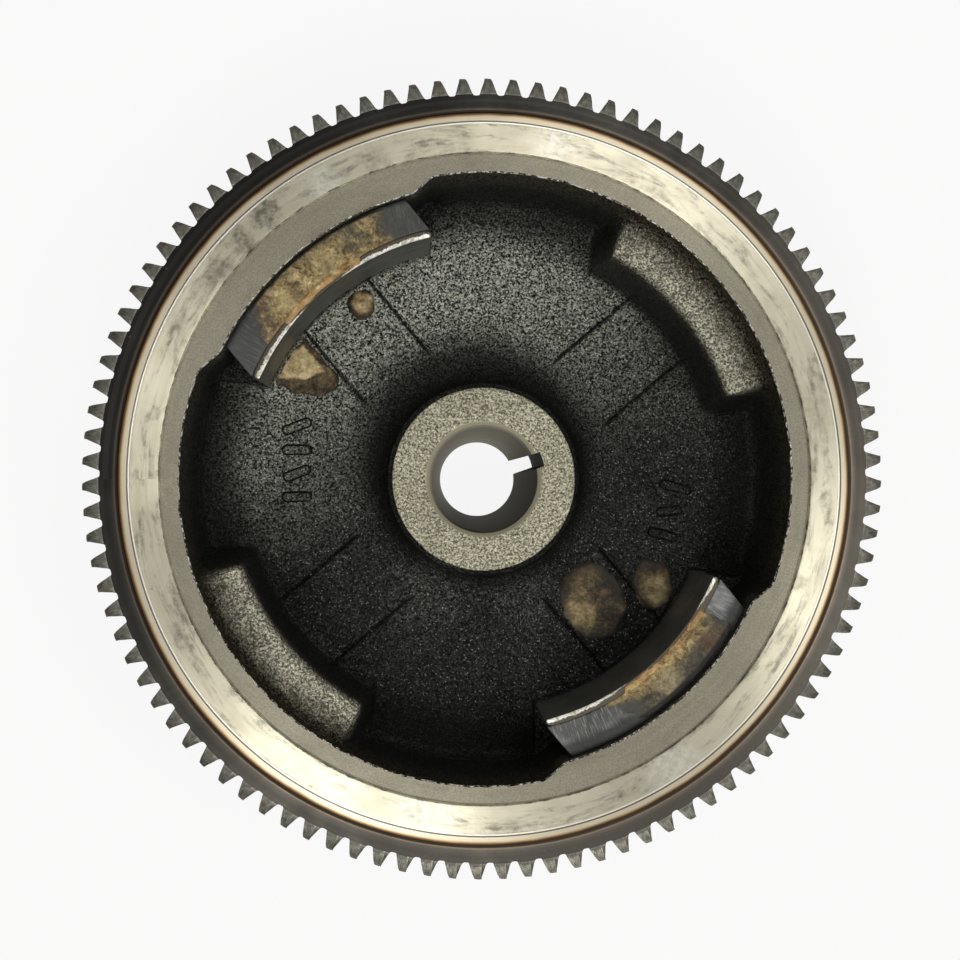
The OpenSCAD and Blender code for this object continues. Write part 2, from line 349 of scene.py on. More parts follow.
def buildWheelPlace():
    # where a point of the wheel lies: radius and height in millimetres, and its direction
    ins, outs = newGroup("wheelPlace", ("Radius", "Height", "Turn"))
    parts = fields(add("ShaderNodeSeparateXYZ", {"Vector": ins["Vector"]}))
    feed(outs["Radius"], calc("SQRT", parts["X"] * parts["X"] + parts["Y"] * parts["Y"]) * 1000.0)
    feed(outs["Height"], parts["Z"] * 1000.0)
    feed(outs["Turn"], calc("ARCTAN2", parts["Y"], parts["X"]))


def buildSandGrain():
    # pitted, crystalline surface of sand-cast iron: every grain has its own shade
    ins, outs = newGroup("sandGrain", ("Height", "Glints", "Mottle", "Shade"), Size=0.7, Glint=0.5)
    where = ins["Vector"]
    perMetre = 1000.0 / ins["Size"]
    bent = get("ShaderNodeTexNoise", {"Vector": where, "Scale": perMetre, "Detail": 1.0}, "Color")
    bent = vectorMath("SCALE", vectorMath("SUBTRACT", bent, (0.5, 0.5, 0.5)), ins["Size"] * 0.0011)
    bent = vectorMath("ADD", where, bent)
    grains = fields(add("ShaderNodeTexVoronoi", {"Vector": bent, "Scale": perMetre}))
    lot = get("ShaderNodeSeparateColor", {"Color": grains["Color"]}, "Red")
    lumps = noiseAt(where, perMetre * 0.75, 3.0, 0.65)
    feed(outs["Height"], lot * 0.12 + (grains["Distance"] * -0.55 + lumps))
    # Glints: bright specks on some grain tops, painted in as glints by the materials
    top = 1.02 - ins["Glint"] * 0.25
    feed(outs["Glints"], step(lot, top, top + 0.10) * step(grains["Distance"], 0.50, 0.20))
    feed(outs["Mottle"], noiseAt(where, perMetre * 0.06, 4.0, 0.6))
    feed(outs["Shade"], calc("POWER", step(lot * 0.16 + lumps, 0.36, 0.80), 1.35))


def buildBandLine():
    # painted shade: dark lines in the grooves along both sides of a band that runs outwards from the hub
    ins, outs = newGroup("bandLine", ["Mask"], Along=(1, 0, 0), Across=(0, 1, 0), Left=14.0, Right=14.0)
    where = ins["Vector"]
    along = dot(where, ins["Along"])
    across = dot(where, ins["Across"]) + (noiseAt(where, 300.0, 3.0, 0.6) * 0.0012 + -0.0006)
    left = abs(across * 1000.0 + ins["Left"] * -1.0)
    right = abs(across * 1000.0 + ins["Right"])
    reach = step(along, 0.043, 0.047) * step(along, 0.082, 0.076)
    feed(outs["Mask"], step(calc("MINIMUM", left, right), 0.95, 0.25) * reach)


def buildBlotches():
    # irregular patches, such as oil, rust or handling marks
    ins, outs = newGroup("blotches", ["Mask"], Size=10.0, Cover=0.5, Softness=0.1)
    field = noiseAt(ins["Vector"], 1000.0 / ins["Size"], 5.0, 0.6, 0.4)
    middle = ins["Cover"] * -0.5 + 0.75
    feed(outs["Mask"], step(field, middle - ins["Softness"], middle + ins["Softness"]))


def buildSpot():
    # one stain at a given place, centre and size in mm
    ins, outs = newGroup("spot", ["Mask"], Centre="Vector", Size=5.0, Softness=1.5, Ragged=4.0)
    flat = vectorMath("MULTIPLY", ins["Vector"], (1000.0, 1000.0, 0.0))
    distance = vectorMath("DISTANCE", flat, ins["Centre"], "Value")
    distance = (noiseAt(ins["Vector"], 260.0, 5.0, 0.68) - 0.5) * ins["Ragged"] + distance
    feed(outs["Mask"], step(distance, ins["Size"] + ins["Softness"], ins["Size"] - ins["Softness"]))


def buildTurning():
    # fine rings left by a lathe tool, at uneven spacing
    ins, outs = newTree("turning", "Shader", {"Radius": 0.0, "Height": 0.0, "Turn": 0.0, "Spacing": 0.4,
                                              "Waver": 0.3}, {"Lines": "Float", "Broad": "Float"})
    across = ins["Radius"] + calc("SINE", ins["Turn"]) * ins["Waver"]
    spot = vector(across, ins["Height"], ins["Turn"] * 0.25)
    perRing = 1.0 / ins["Spacing"]
    feed(outs["Lines"], noiseAt(spot, perRing, 2.0, 0.8))
    feed(outs["Broad"], noiseAt(spot, perRing * 0.2, 2.0, 0.5))


for build in (buildWheelPlace, buildSandGrain, buildBandLine, buildBlotches, buildSpot, buildTurning):
    build()
print("shared effects built")


def placeOf(where):
    return useGroup("wheelPlace", where).values()


def patches(where, size, cover, softness):
    return useGroup("blotches", where, size, cover, softness)["Mask"]


def spotAt(where, x, y, size, softness, ragged):
    return useGroup("spot", where, (x, y, 0.0), size, softness, ragged)["Mask"]


def spotsOver(where, colour, stains):
    # lays spots over a colour, stains and painted light and shade alike: place in mm, size, softness,
    # strength, colour
    patchy = step(noiseAt(where, 420.0, 5.0, 0.72), 0.40, 0.60, 0.35, 1.0)
    for x, y, size, softness, strength, tone in stains:
        mask = spotAt(where, x, y, size, softness, 3.0 + size * 1.8)
        colour = blend(mask * patchy * strength, colour, tone)
    return colour


view = {
    "eye": (-28.6, -0.3, 474.5),  # mm
    "target": (-3.0, -0.3, 67.5),
    "lens": 48.7,
    "sensor": 36.0,
}


def makeCamera():
    data = bpy.data.cameras.new("camera")
    data.lens = view["lens"]
    data.sensor_width = view["sensor"]
    data.clip_start, data.clip_end = 0.01, 10.0
    camera = link("camera", data)
    eye, target = Vector(view["eye"]) * mm, Vector(view["target"]) * mm
    forward = (target - eye).normalized()
    right = forward.cross(Vector((0, 1, 0))).normalized()  # the wheel's +Y points upwards
    axes = Matrix((right, right.cross(forward), -forward)).transposed()
    camera.location = eye
    camera.rotation_mode = "QUATERNION"
    camera.rotation_quaternion = axes.to_quaternion()
    bpy.context.scene.camera = camera


studio = {
    "sky": 0.17,
    "skyColour": (1.0, 0.995, 0.985),
    "floorGlow": 0.89, "floorShade": 0.07, "floorSize": 3000,
    # name, direction and height of the lamp, its distance and size in mm, watts, colour
    "lamps": [
        ("windowLow", 252, 58, 900, 440, 3.2, (1.0, 0.985, 0.945)),
        ("windowHigh", 60, 64, 900, 420, 1.45, (1.0, 0.985, 0.945)),
        ("lampRight", -16, 58, 900, 300, 1.65, (1.0, 0.985, 0.94)),
        ("lampLeft", 168, 64, 900, 260, 0.54, (1.0, 0.985, 0.94)),
    ],
}


def makeStudio():
    world = bpy.data.worlds.new("studio")
    world.use_nodes = True
    background = world.node_tree.nodes["Background"]
    background.inputs["Color"].default_value = (*studio["skyColour"], 1)
    background.inputs["Strength"].default_value = studio["sky"]
    bpy.context.scene.world = world
    for name, turn, rise, distance, size, power, colour in studio["lamps"]:
        data = bpy.data.lights.new(name, "AREA")
        data.shape = "DISK"
        data.size = size * mm
        data.energy = power
        data.color = colour
        lamp = link(name, data)
        flat, height = spin(distance, 0, rise)
        lamp.location = Vector((*spin(flat, 0, turn), height)) * mm
        lamp.rotation_mode = "QUATERNION"
        lamp.rotation_quaternion = (-lamp.location).to_track_quat("-Z", "Y")
    bpy.context.scene.view_settings.view_transform = "Standard"


def makeFloor():
    # a lit table, which leaves no hard shadows round the wheel
    newMaterial("paleFloor")
    material = dress(colour=[studio["floorShade"]] * 3, rough=0.9, specular=0.1, glowColour=(1, 1, 1),
                     glow=studio["floorGlow"])
    size = studio["floorSize"]
    corners = [(-size, -size, 0), (size, -size, 0), (size, size, 0), (-size, size, 0)]
    floor = makePiece("floor", corners, [(0, 1, 2, 3)], [material])


makeCamera()
makeStudio()
makeFloor()
print("camera, light and floor made")


def nodeBox(node):
    low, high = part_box(node)
    return np.array(low) / mm, np.array(high) / mm


castHigh = nodeBox("flywheel_casting")[1]
gearLow, gearHigh = nodeBox("ring_gear")
magnetLow, magnetHigh = nodeBox("charging_magnet_a")

wheel = {
    "rimTop": castHigh[2], "rimOuter": castHigh[0],
    "gearTop": gearHigh[2], "gearBottom": gearLow[2], "gearTip": gearHigh[0],
    "seat": 115.0, "bandOuter": 111.6, "bandInner": 102.4, "ringInner": 96.6, "ringDrop": 1.2,
    "rimBottom": 21.0, "webTop": 29.0, "webBottom": 20.0,
    "hubTop": 41.0, "hubOuter": 30.5, "hubFoot": 42.5, "bossOuter": 33.0,
    "boreLarge": 17.5, "boreSmall": 13.4, "boreChamfer": 1.8,
    "keyTurn": 19.0, "keyHalf": 2.5, "keyFloor": 20.8,
    "magnetTurns": (130.0, -50.0), "padTurns": (40.0, 220.0),
    "magnetTop": magnetHigh[2], "magnetBottom": magnetLow[2],
    "magnetInner": 81.0, "magnetOuter": 92.3, "magnetHalf": 36.5,
    "shoeInner": 78.5, "shoeHalf": 35.7, "seatWall": 92.6, "seatChord": 84.0,
}


casting = {
    # dark places on the web, painted shadow, and paler places below the hub, painted light: x, y, size,
    # softness (mm), strength, colour
    "sootAndShade": (
        (49.0, -50.0, 13.0, 7.0, 0.85, (0.012, 0.012, 0.011)),
        (47.5, -33.0, 5.0, 3.0, 0.8, (0.012, 0.012, 0.011)),
        (27.0, -30.0, 5.0, 3.0, 0.6, (0.014, 0.014, 0.012)),
        (18.5, -41.8, 0.9, 0.4, 0.95, (0.002, 0.002, 0.002)),
        (-66.0, -42.0, 9.0, 6.0, 0.6, (0.016, 0.016, 0.015)),
        (58.0, 10.0, 12.0, 8.0, 0.5, (0.016, 0.016, 0.015)),
        # painted light: paler places below the hub, where its fillet is lit
        (-18.0, -38.0, 12.0, 8.0, 0.65, (0.21, 0.215, 0.195)),
        (14.0, -41.0, 9.0, 7.0, 0.6, (0.19, 0.195, 0.175)),
    ),
    "columns": 528,        # points round the wheel
    "lump": 0.20,          # height of the uneven cast skin, mm
    "chip": 0.45,          # depth of the chips along the cast edge, mm
    "padRadius": 82.0, "padTop": 59.5, "padHalfTurn": 22.5, "padFade": 1.8,
    "bands": ((130.0, 14.0, 14.0), (40.0, 15.0, 13.0), (220.0, 15.5, 12.6), (310.0, 16.0, 10.0)),
    "bandRise": 0.9, "bandStart": 46.0, "bandEnd": 78.0, "grooveDeep": 0.8,
    "seed": 11,
}
castSkin, turned, hubFace, boreFace, rimSide = range(5)


def samplePath(points, count):
    # evenly spaced points along an open outline, ends included
    points = np.asarray(points, float)
    lengths = np.r_[0, np.cumsum(np.hypot(*np.diff(points, axis=0).T))]
    at = np.linspace(0, lengths[-1], count)
    return np.stack([np.interp(at, lengths, points[:, 0]), np.interp(at, lengths, points[:, 1])], axis=1)


def arcPath(centreR, centreZ, radius, start, end, count=7):
    a = np.radians(np.linspace(start, end, count))
    return [(centreR + radius * math.cos(t), centreZ + radius * math.sin(t)) for t in a]


def castingRows():
    # one row per ring of points: radius and height round the wheel, finish, unevenness
    w, c = wheel, casting
    turns = np.arange(c["columns"]) * 360 / c["columns"]
    rows = []

    def row(r, z, finish, rough=0.0):
        rows.append((r + 0 * turns, z + 0 * turns, finish, rough))

    def run(finish, rough, *targets):
        # straight to each target: radius, height, number of steps
        for r, z, steps in targets:
            r0, z0 = rows[-1][:2]
            for k in range(1, steps + 1):
                row(r0 + (r - r0) * k / steps, z0 + (z - z0) * k / steps, finish, rough)

    def arc(finish, rough, *values):
        for r, z in arcPath(*values)[1 if finish == turned else 0:]:
            row(r, z, finish, rough)

    # outside of the rim, the seat of the ring gear and the turned open face
    outer, top, bottom, seatR = w["rimOuter"], w["rimTop"], w["rimBottom"], w["seat"]
    low, high, groove, inner = w["gearBottom"], w["gearTop"], w["bandOuter"], w["bandInner"]
    row(outer, bottom + 1.2, rimSide)
    run(rimSide, 0, (outer, low - 0.2, 5), (outer - 0.2, low, 1), (seatR, low, 1), (seatR, high, 2))
    run(turned, 0, (seatR - 0.15, high + 0.12, 1), (groove + 0.6, top - 0.08, 4),
        (groove + 0.45, top - 0.04, 1), (groove + 0.1, top - 0.45, 1), (groove - 0.1, top - 0.45, 1),
        (groove - 0.5, top, 1), (inner + 0.3, top, 8))
    arc(turned, 0, inner + 0.3, top - 0.3, 0.3, 90, 180, 4)
    ringZ = top - w["ringDrop"]
    run(turned, 0, (inner, ringZ - 0.15, 1), (inner - 0.35, ringZ - 0.15, 1), (inner - 0.55, ringZ, 1))

    def wall(*parts):
        return np.concatenate([samplePath(part, count) for part, count in zip(parts, (9, 8, 6, 10, 10))])

    # the cavity's wall, which differs at the pads and at the magnets
    wallR, web, padR, padZ = w["ringInner"], w["webTop"], c["padRadius"], c["padTop"]
    ledgeR, ledgeZ, seatWall = w["shoeInner"] + 0.5, w["magnetBottom"] - 0.1, w["seatWall"]
    plain = wall([(wallR, ringZ), (wallR - 0.5, 60), (wallR - 0.9, 52)],
                 [(wallR - 0.9, 51), (wallR - 1.1, 47)],
                 [(wallR - 1.15, 46), (wallR - 1.3, 43)], [(wallR - 1.3, 42), (wallR - 1.6, 36.5)],
                 arcPath(wallR - 9.2, web + 7.5, 7.5, 0, -90, 12))
    pad = wall([(wallR, ringZ), (wallR - 0.4, padZ + 3.5), (wallR - 1.6, padZ + 1.6)],
               [(wallR - 3, padZ + 1.0), (padR + 4.4, padZ + 0.1)], arcPath(padR + 4, padZ - 4, 4, 85,
                                                                            180, 9),
               [(padR - 0.1, padZ - 5), (padR - 1.2, web + 6.5)], arcPath(padR - 7.4, web + 6, 6, 0,
                                                                          -90, 12))
    seat = wall([(seatWall, ringZ), (seatWall, ledgeZ + 0.6)], [(seatWall, ledgeZ), (ledgeR + 1, ledgeZ)],
                [(ledgeR + 0.5, ledgeZ), (ledgeR, ledgeZ - 0.6)], [(ledgeR - 0.1, ledgeZ - 0.8),
                                                                   (ledgeR - 0.6, web + 2.5)],
                arcPath(ledgeR - 3, web + 2.2, 2.2, 0, -90, 12))
    edge = lumpyNoise(polar(wallR, turns, 0.0), 3.2, c["seed"] + 40, 4)
    edge = c["chip"] * (edge - 0.6 * ease(0.25, 0.6, edge))
    offs = [np.abs(turnTo(turns, t)) for t in w["magnetTurns"]]
    for k in range(len(plain)):
        wander = lumpyNoise(polar(wallR, turns, plain[k, 1] * 0.5), 9, c["seed"] + 3, 3)
        half = c["padHalfTurn"] + 1.5 * ease(top - 8, web, pad[k, 1]) + wander
        inPad = sum(ease(half + c["padFade"], half - c["padFade"], np.abs(turnTo(turns, t)))
                    for t in w["padTurns"])
        r, z = (plain[k, i] + inPad * (pad[k, i] - plain[k, i]) for i in (0, 1))
        for off in offs:
            chord = np.maximum(w["seatChord"] / np.cos(np.radians(np.minimum(off, 60))), seatWall)
            deepR = np.minimum(plain[k, 0], chord)
            inSeat = np.minimum(r, chord) if k < 9 else deepR + ease(29.5, 26.5, off) * (seat[k, 0] - deepR)
            r = np.where(off < 35, inSeat, r)
            z = z + ease(33, 30, off) * (seat[k, 1] - z)
        chipped = ease(ringZ - 3.0, ringZ, plain[k, 1]) * (0.4 + 0.6 * ease(28, 31, np.min(offs, axis=0)))
        r = r - edge * chipped
        if k == 0:
            run(turned, 0, (r + 0.12, ringZ, 5))
            row(r - 0.22, z - 0.45, castSkin)
        else:
            row(r, z, castSkin, min(1.0, 0.3 + 0.25 * k))
    run(castSkin, 1.0, (w["hubFoot"] + 1.5, web, 34))

    # hub inside the cavity, its machined face and the bore
    hub, hubR, keyR = w["hubTop"], w["hubOuter"], w["keyFloor"] + 1.0
    boss, back = w["bossOuter"], w["webBottom"]
    large, small, mouth = w["boreLarge"], w["boreSmall"], w["boreLarge"] + w["boreChamfer"]
    arc(castSkin, 0.7, w["hubFoot"] + 1.0, hub - 0.6, hub - 0.6 - web, -95, -178, 12)
    run(castSkin, 0.25, (hubR + 0.1, hub - 0.15, 1))
    run(hubFace, 0, (hubR - 0.15, hub, 1), (keyR, hub, 6), (mouth + 0.12, hub, 1))
    firstBore = len(rows) - 1
    run(boreFace, 0, (mouth - 0.1, hub - 0.1, 1), (large, hub - w["boreChamfer"], 2), (small, 0.8, 8),
        (small + 0.8, 0.0, 1))
    lastBore = len(rows) - 1

    # fan side
    run(hubFace, 0, (keyR, 0.0, 1), (boss - 1.0, 0.0, 3), (boss, 1.0, 1))
    run(castSkin, 0.6, (boss, back - 6.5, 4))
    arc(castSkin, 0.8, boss + 6, back - 6, 6, 180, 90, 7)
    run(castSkin, 0.9, (wallR - 3, back, 12))
    run(castSkin, 0.5, (wallR, bottom, 1))
    run(rimSide, 0, (outer - 1.2, bottom, 5))
    return turns, rows, firstBore, lastBore


def boreOutline(radius, turns):
    # a circle with the keyway's three sides let into it, one point for each direction
    w = wheel
    off = turnTo(turns, w["keyTurn"])
    size = np.abs(off)
    side = np.sign(off) + (off == 0)
    nearWall, nearFloor = 11.0, 7.0  # directions that hold the side walls and the floor, degrees
    cut = np.degrees(np.arcsin(w["keyHalf"] / radius))
    corner = np.degrees(np.arcsin(w["keyHalf"] / w["keyFloor"]))
    onCircle = cut + (180 - cut) * (size - nearWall) / (180 - nearWall)
    along = np.clip((nearWall - size) / (nearWall - nearFloor), 0, 1)
    startX, endX = radius * np.cos(np.radians(cut)), w["keyFloor"] * np.cos(np.radians(corner))
    x = np.where(size > nearWall, radius * np.cos(np.radians(onCircle)), startX + (endX - startX) * along)
    y = np.where(size > nearWall, radius * np.sin(np.radians(onCircle)), w["keyHalf"])
    floorY = w["keyHalf"] * size / nearFloor
    x = np.where(size < nearFloor, np.sqrt(w["keyFloor"] ** 2 - floorY ** 2), x)
    y = np.where(size < nearFloor, floorY, y) * side
    return spin(x, y, w["keyTurn"])


def webRelief(x, y):
    # raised bands towards the pads and magnets, with a groove along each edge
    c = casting
    radius = np.hypot(x, y)
    inside = ease(c["bandStart"] - 3, c["bandStart"] + 2, radius) * ease(c["bandEnd"] + 3,
                                                                         c["bandEnd"], radius)
    relief = np.zeros_like(x)
    for turn, left, right in c["bands"]:
        forward, across = spin(x, y, -turn)
        ahead = ease(20, 30, forward)
        over = np.where(across > 0, across - left, -across - right)
        relief += ahead * (c["bandRise"] * ease(0.3, -0.5, over) - c["grooveDeep"]
                           * ease(1.0, 0.2, np.abs(over)))
    return relief * inside


def makeCasting(materials):
    turns, rows, firstBore, lastBore = castingRows()
    radius, height, finish, rough = zip(*rows)
    radius, height, rough = np.array(radius), np.array(height), np.array(rough)[:, None]
    points = polar(radius, turns[None, :], height)
    for i in range(firstBore, lastBore + 1):
        points[i, :, 0], points[i, :, 1] = boreOutline(radius[i, 0], turns)
    web = (np.abs(height - wheel["webTop"]) < 2.5) & (radius > wheel["hubFoot"] - 3)
    points[..., 2] += np.where(web, webRelief(points[..., 0], points[..., 1]), 0)
    lump = lumpyNoise(points, 7.0, casting["seed"], 3) + 0.6 * softNoise(points, 2.2, casting["seed"] + 9)
    climb, run = (np.abs(np.gradient(value, axis=0)) for value in (height, radius))
    onWall = ease(0.3, 0.9, climb / (run + climb + 1e-6))[..., None]
    shift = (lump * rough * casting["lump"])[..., None]
    points += shift * (np.array([0, 0, 1.0]) * (1 - onWall) + polar(1.0, turns, 0.0) * onWall)
    count, around = points.shape[:2]
    faces = gridFaces(count, around, wrapRows=True, wrapColumns=True)
    slots = np.repeat(finish[1:] + finish[:1], around)
    piece = makePiece("castIronWheel", points, faces, materials, slots, sharpAngle=32)
    faceOut(piece)
    return piece


def makeCastSkin():
    where = newMaterial("castSkin")
    radius, height, _ = placeOf(where)
    grain = useGroup("sandGrain", where, 0.54, 0.7)
    broad = patches(where, 45.0, 0.5, 0.2)
    # painted light and shade: deep in the cavity the web is dark, painted lighter on one side (broken up by
    # soot patches) and with a painted shadow round the hub; it gives way to the paler pads towards the open
    # face
    inside = calc("LESS_THAN", radius, 94.2)
    raised = step(height, 52.0, 59.0) * inside
    sideways = dot(where, (-320.0, 950.0, 0.0))
    litAndClean = step(broad * 14.0 + sideways, -15.0, 94.0)
    # painted shadow of the hub, reaching further on the upper side
    hubShadow = step(sideways * -0.2 + radius, 33.0, 47.0, 0.94, 0.0)
    # painted shade: mask of the steep walls of the cavity
    shadedWall = step(height, 30.2, 32.5) * step(height, 59.5, 56.5) * step(radius, 76.0, 79.0)
    shadedWall = calc("MAXIMUM", shadedWall, step(radius, 93.4, 94.6))
    dark = blend(litAndClean, (0.062, 0.064, 0.06), (0.68, 0.7, 0.6))
    dark = blend(hubShadow, dark, (0.03, 0.03, 0.028))
    # painted shade: the foot of the wall is darkened nearly to black
    wallFootShade = step(broad * -5.0 + radius, 71.0, 88.0) * step(height, 56.0, 50.0)
    dark = blend(wallFootShade * 0.88, dark, (0.022, 0.022, 0.021))
    dark = spotsOver(where, dark, casting["sootAndShade"])
    # painted shade round the foot of the raised marks
    markFootShade = painted("markFootShade")
    dark = blend(markFootShade, dark, (0.004, 0.004, 0.004))
    dry = blend(grain["Mottle"], (0.68, 0.65, 0.5), (0.99, 0.96, 0.77))
    # painted shade: the pads darken towards the wall
    wallwardShade = noiseAt(where, 130.0, 4.0, 0.65) * 9.0 + radius
    dry = blend(step(wallwardShade, 89.5, 98.5, 0.0, 0.85), dry, (0.105, 0.1, 0.07))
    colour = blend(raised, dark, dry)
    # painted shade on the steep walls, darkest low down, over an olive-brown tone of dirt near the top
    grime = blend(step(height, 50.0, 64.0), (0.08, 0.082, 0.076), (0.16, 0.135, 0.085))
    colour = blend(shadedWall * 0.92, colour, grime)
    # painted shade darkens the grooves along the bands' edges
    for turn, left, right in casting["bands"]:
        grooveShade = useGroup("bandLine", where, (*spin(1, 0, turn), 0), (*spin(0, 1, turn), 0), left,
                        right)["Mask"]
        colour = blend(grooveShade * 0.9, colour, (0.010, 0.010, 0.010))
    # painted shade blackens the pits, and painted glints brighten the tops of the grains
    pitShade = calc("MULTIPLY_ADD", grain["Shade"], -1.2, 1.09, clamp=True)
    pitShade = pitShade * step(raised, 0.0, 1.0, 1.0, 0.86)
    colour = blend(pitShade, colour, (0.008, 0.008, 0.008))
    # painted glints: stronger on the lit side, weaker in the hub's shadow and in painted shade
    glintColour = blend(raised, (0.98, 0.99, 0.97), (0.98, 0.95, 0.85))
    shine = (1.0 - hubShadow) * step(litAndClean, 0.0, 1.0, 0.32, 0.95)
    inShade = calc("MAXIMUM", markFootShade, calc("MAXIMUM", shadedWall, wallFootShade))
    shine = shine * step(inShade, 0.0, 1.0, 1.0, 0.15)
    colour = blend(grain["Glints"] * shine, colour, glintColour)
    # bright nicks where the machined face breaks away
    nicks = step(height, 66.4, 67.0) * step(noiseAt(where, 700.0, 2.0, 0.6), 0.46, 0.54)
    colour = blend(nicks, colour, (0.97, 0.95, 0.88))
    return dress(colour=colour, metal=0.85, specular=0.3,
                 rough=step(grain["Glints"], 0.0, 1.0, 0.5, 0.32),
                 normal=bump(grain["Height"], 0.5, 1.0))


openFaceSpots = {
    # handling marks on the open face, and painted highlights (the near-white ones): x, y, size, softness
    # (mm), strength, colour
    "stains": (
        (-70.0, 83.0, 4.5, 2.5, 0.85, (0.13, 0.125, 0.095)),
        (-77.0, 74.0, 3.5, 2.0, 0.8, (0.15, 0.14, 0.105)),
        (-83.0, 65.0, 4.0, 2.5, 0.6, (0.20, 0.185, 0.14)), (-52.0, 91.5, 4.5, 3.0, 0.9, (1.0, 0.98, 0.86)),
        (58.0, -91.0, 8.0, 5.0, 0.8, (1.0, 0.97, 0.86)), (20.0, 105.0, 5.0, 4.0, 0.6, (1.0, 0.98, 0.88)),
        (-36.0, 99.0, 4.0, 3.0, 0.5, (0.30, 0.28, 0.21)), (98.0, -33.0, 2.5, 1.5, 0.55, (0.30, 0.26, 0.18)),
        (103.0, 20.0, 5.0, 4.0, 0.45, (0.36, 0.33, 0.25)),
        (-20.0, -104.0, 9.0, 6.0, 0.5, (1.0, 0.98, 0.88)),
    ),
}


def makeTurnedFace():
    where = newMaterial("turnedFace")
    radius, height, turn = placeOf(where)
    lines = useGroup("turning", radius, height, turn, 0.22, 0.1)
    stains = patches(where, 22.0, 0.4, 0.26)
    spots = patches(where, 2.4, 0.02, 0.06)
    smudge = step(noiseAt(vector(radius * 0.22, turn * 5.0), 1.0, 5.0, 0.68, 0.5), 0.47, 0.66)
    smudge = smudge * step(noiseAt(where, 330.0, 3.0, 0.7), 0.36, 0.6, 0.35, 1.0)
    onRing = calc("LESS_THAN", radius, wheel["bandInner"] - 0.05)
    onEdge = calc("GREATER_THAN", radius, wheel["bandOuter"] - 0.15)
    band = blend(lines["Broad"], (0.7, 0.66, 0.51), (0.9, 0.86, 0.69))
    band = blend(stains * 0.5, band, (0.42, 0.385, 0.29))
    ring = blend(lines["Broad"], (0.325, 0.3, 0.228), (0.42, 0.39, 0.305))
    ring = blend(stains * 0.35, ring, (0.26, 0.235, 0.18))
    ring = blend(step(noiseAt(where, 1900.0, 2.0, 0.7), 0.4, 0.62, 0.0, 0.55), ring, (0.2, 0.185, 0.14))
    ring = blend(smudge * 0.3, ring, (0.17, 0.155, 0.115))
    band = blend(smudge * 0.8, band, (0.2, 0.185, 0.145))
    band = spotsOver(where, band, openFaceSpots["stains"])
    colour = blend(onRing, band, ring)
    colour = blend(spots * 0.6, colour, (0.13, 0.115, 0.08))
    # grime creeps outwards from the step of the ring
    crust = noiseAt(where, 260.0, 4.0, 0.7) * 2.4 + radius
    grime = step(crust, wheel["bandInner"] + 1.35, wheel["bandInner"] + 0.95) * (1.0 - onRing)
    colour = blend(grime * 0.75, colour, (0.09, 0.08, 0.055))
    # heat tint on the edge beside the ring gear, from straw to blue-black
    warm = noiseAt(where, 60.0) + (radius - 0.5)
    tint = ramp(step(warm, wheel["bandOuter"], wheel["seat"] + 0.1),
                [(0.0, (0.95, 0.9, 0.74)), (0.58, (0.98, 0.88, 0.67)), (0.78, (0.82, 0.6, 0.35)),
                 (0.91, (0.36, 0.21, 0.1)), (1.0, (0.1, 0.068, 0.048))])
    colour = blend(onEdge, colour, tint)
    # a painted highlight lights the groove's inner wall, and painted shade darkens its outer side
    groove = abs(radius - (wheel["bandOuter"] + 0.42))
    colour = blend(step(groove, 0.3, 0.12, 0.0, 0.85), colour, (0.1, 0.07, 0.04))
    groove = abs(radius - (wheel["bandOuter"] - 0.12))
    colour = blend(step(groove, 0.36, 0.2), colour, (1.0, 0.98, 0.92))
    return dress(colour=colour, metal=onRing * -0.4 + 0.9, anisotropic=0.85, turnedBy=0.25,
                 rough=onRing * 0.12 + 0.44 + stains * 0.08, normal=bump(lines["Lines"], 0.02, 0.5),
                 tangent=get("ShaderNodeTangent", direction_type="RADIAL", axis="Z"))


def makeHubFace():
    where = newMaterial("hubFace")
    grain = useGroup("sandGrain", where, 0.55, 0.7)
    stains = patches(where, 14.0, 0.45, 0.2)
    colour = blend(grain["Mottle"], (0.42, 0.405, 0.29), (0.6, 0.58, 0.44))
    colour = blend(stains * 0.35, colour, (0.3, 0.28, 0.19))
    # painted shade blackens the pits, and painted glints brighten the grain tops
    pitShade = calc("MULTIPLY_ADD", grain["Shade"], -1.25, 1.02, clamp=True)
    colour = blend(pitShade, colour, (0.07, 0.064, 0.045))
    colour = blend(grain["Glints"] * 0.6, colour, (0.9, 0.87, 0.74))
    return dress(colour=colour, metal=0.6, rough=0.45, normal=bump(grain["Height"], 0.22, 0.8))


def makeBoreFace():
    where = newMaterial("boreFace")
    radius, height, turn = placeOf(where)
    lines = useGroup("turning", height, 0.0, turn, 0.35, 0.0)
    # painted shade darkens one side of the bore and the whole keyway
    sideways = dot(where, (-550.0, 830.0, 0.0))
    litAndClean = step(sideways, -10.0, 13.0)
    colour = blend(litAndClean, (0.026, 0.025, 0.017), (0.27, 0.255, 0.2))
    colour = blend(lines["Broad"] * 0.25, colour, (0.2, 0.19, 0.15))
    inKey = step(radius, wheel["boreLarge"] + 0.25, wheel["boreLarge"] + 0.45)
    inKey = inKey * calc("LESS_THAN", height, wheel["hubTop"] - 2.0)
    keyFloor = calc("GREATER_THAN", radius, wheel["boreLarge"] + wheel["boreChamfer"] + 0.2)
    chamfer = step(height, wheel["hubTop"] - 1.3, wheel["hubTop"] - 1.0)
    colour = blend(chamfer * 0.8, colour, (0.42, 0.39, 0.28))
    colour = blend(calc("MAXIMUM", inKey, keyFloor), colour, (0.006, 0.006, 0.005))
    return dress(colour=colour, metal=0.35, rough=0.72, specular=0.05,
                 normal=bump(lines["Lines"], 0.03, 0.6))


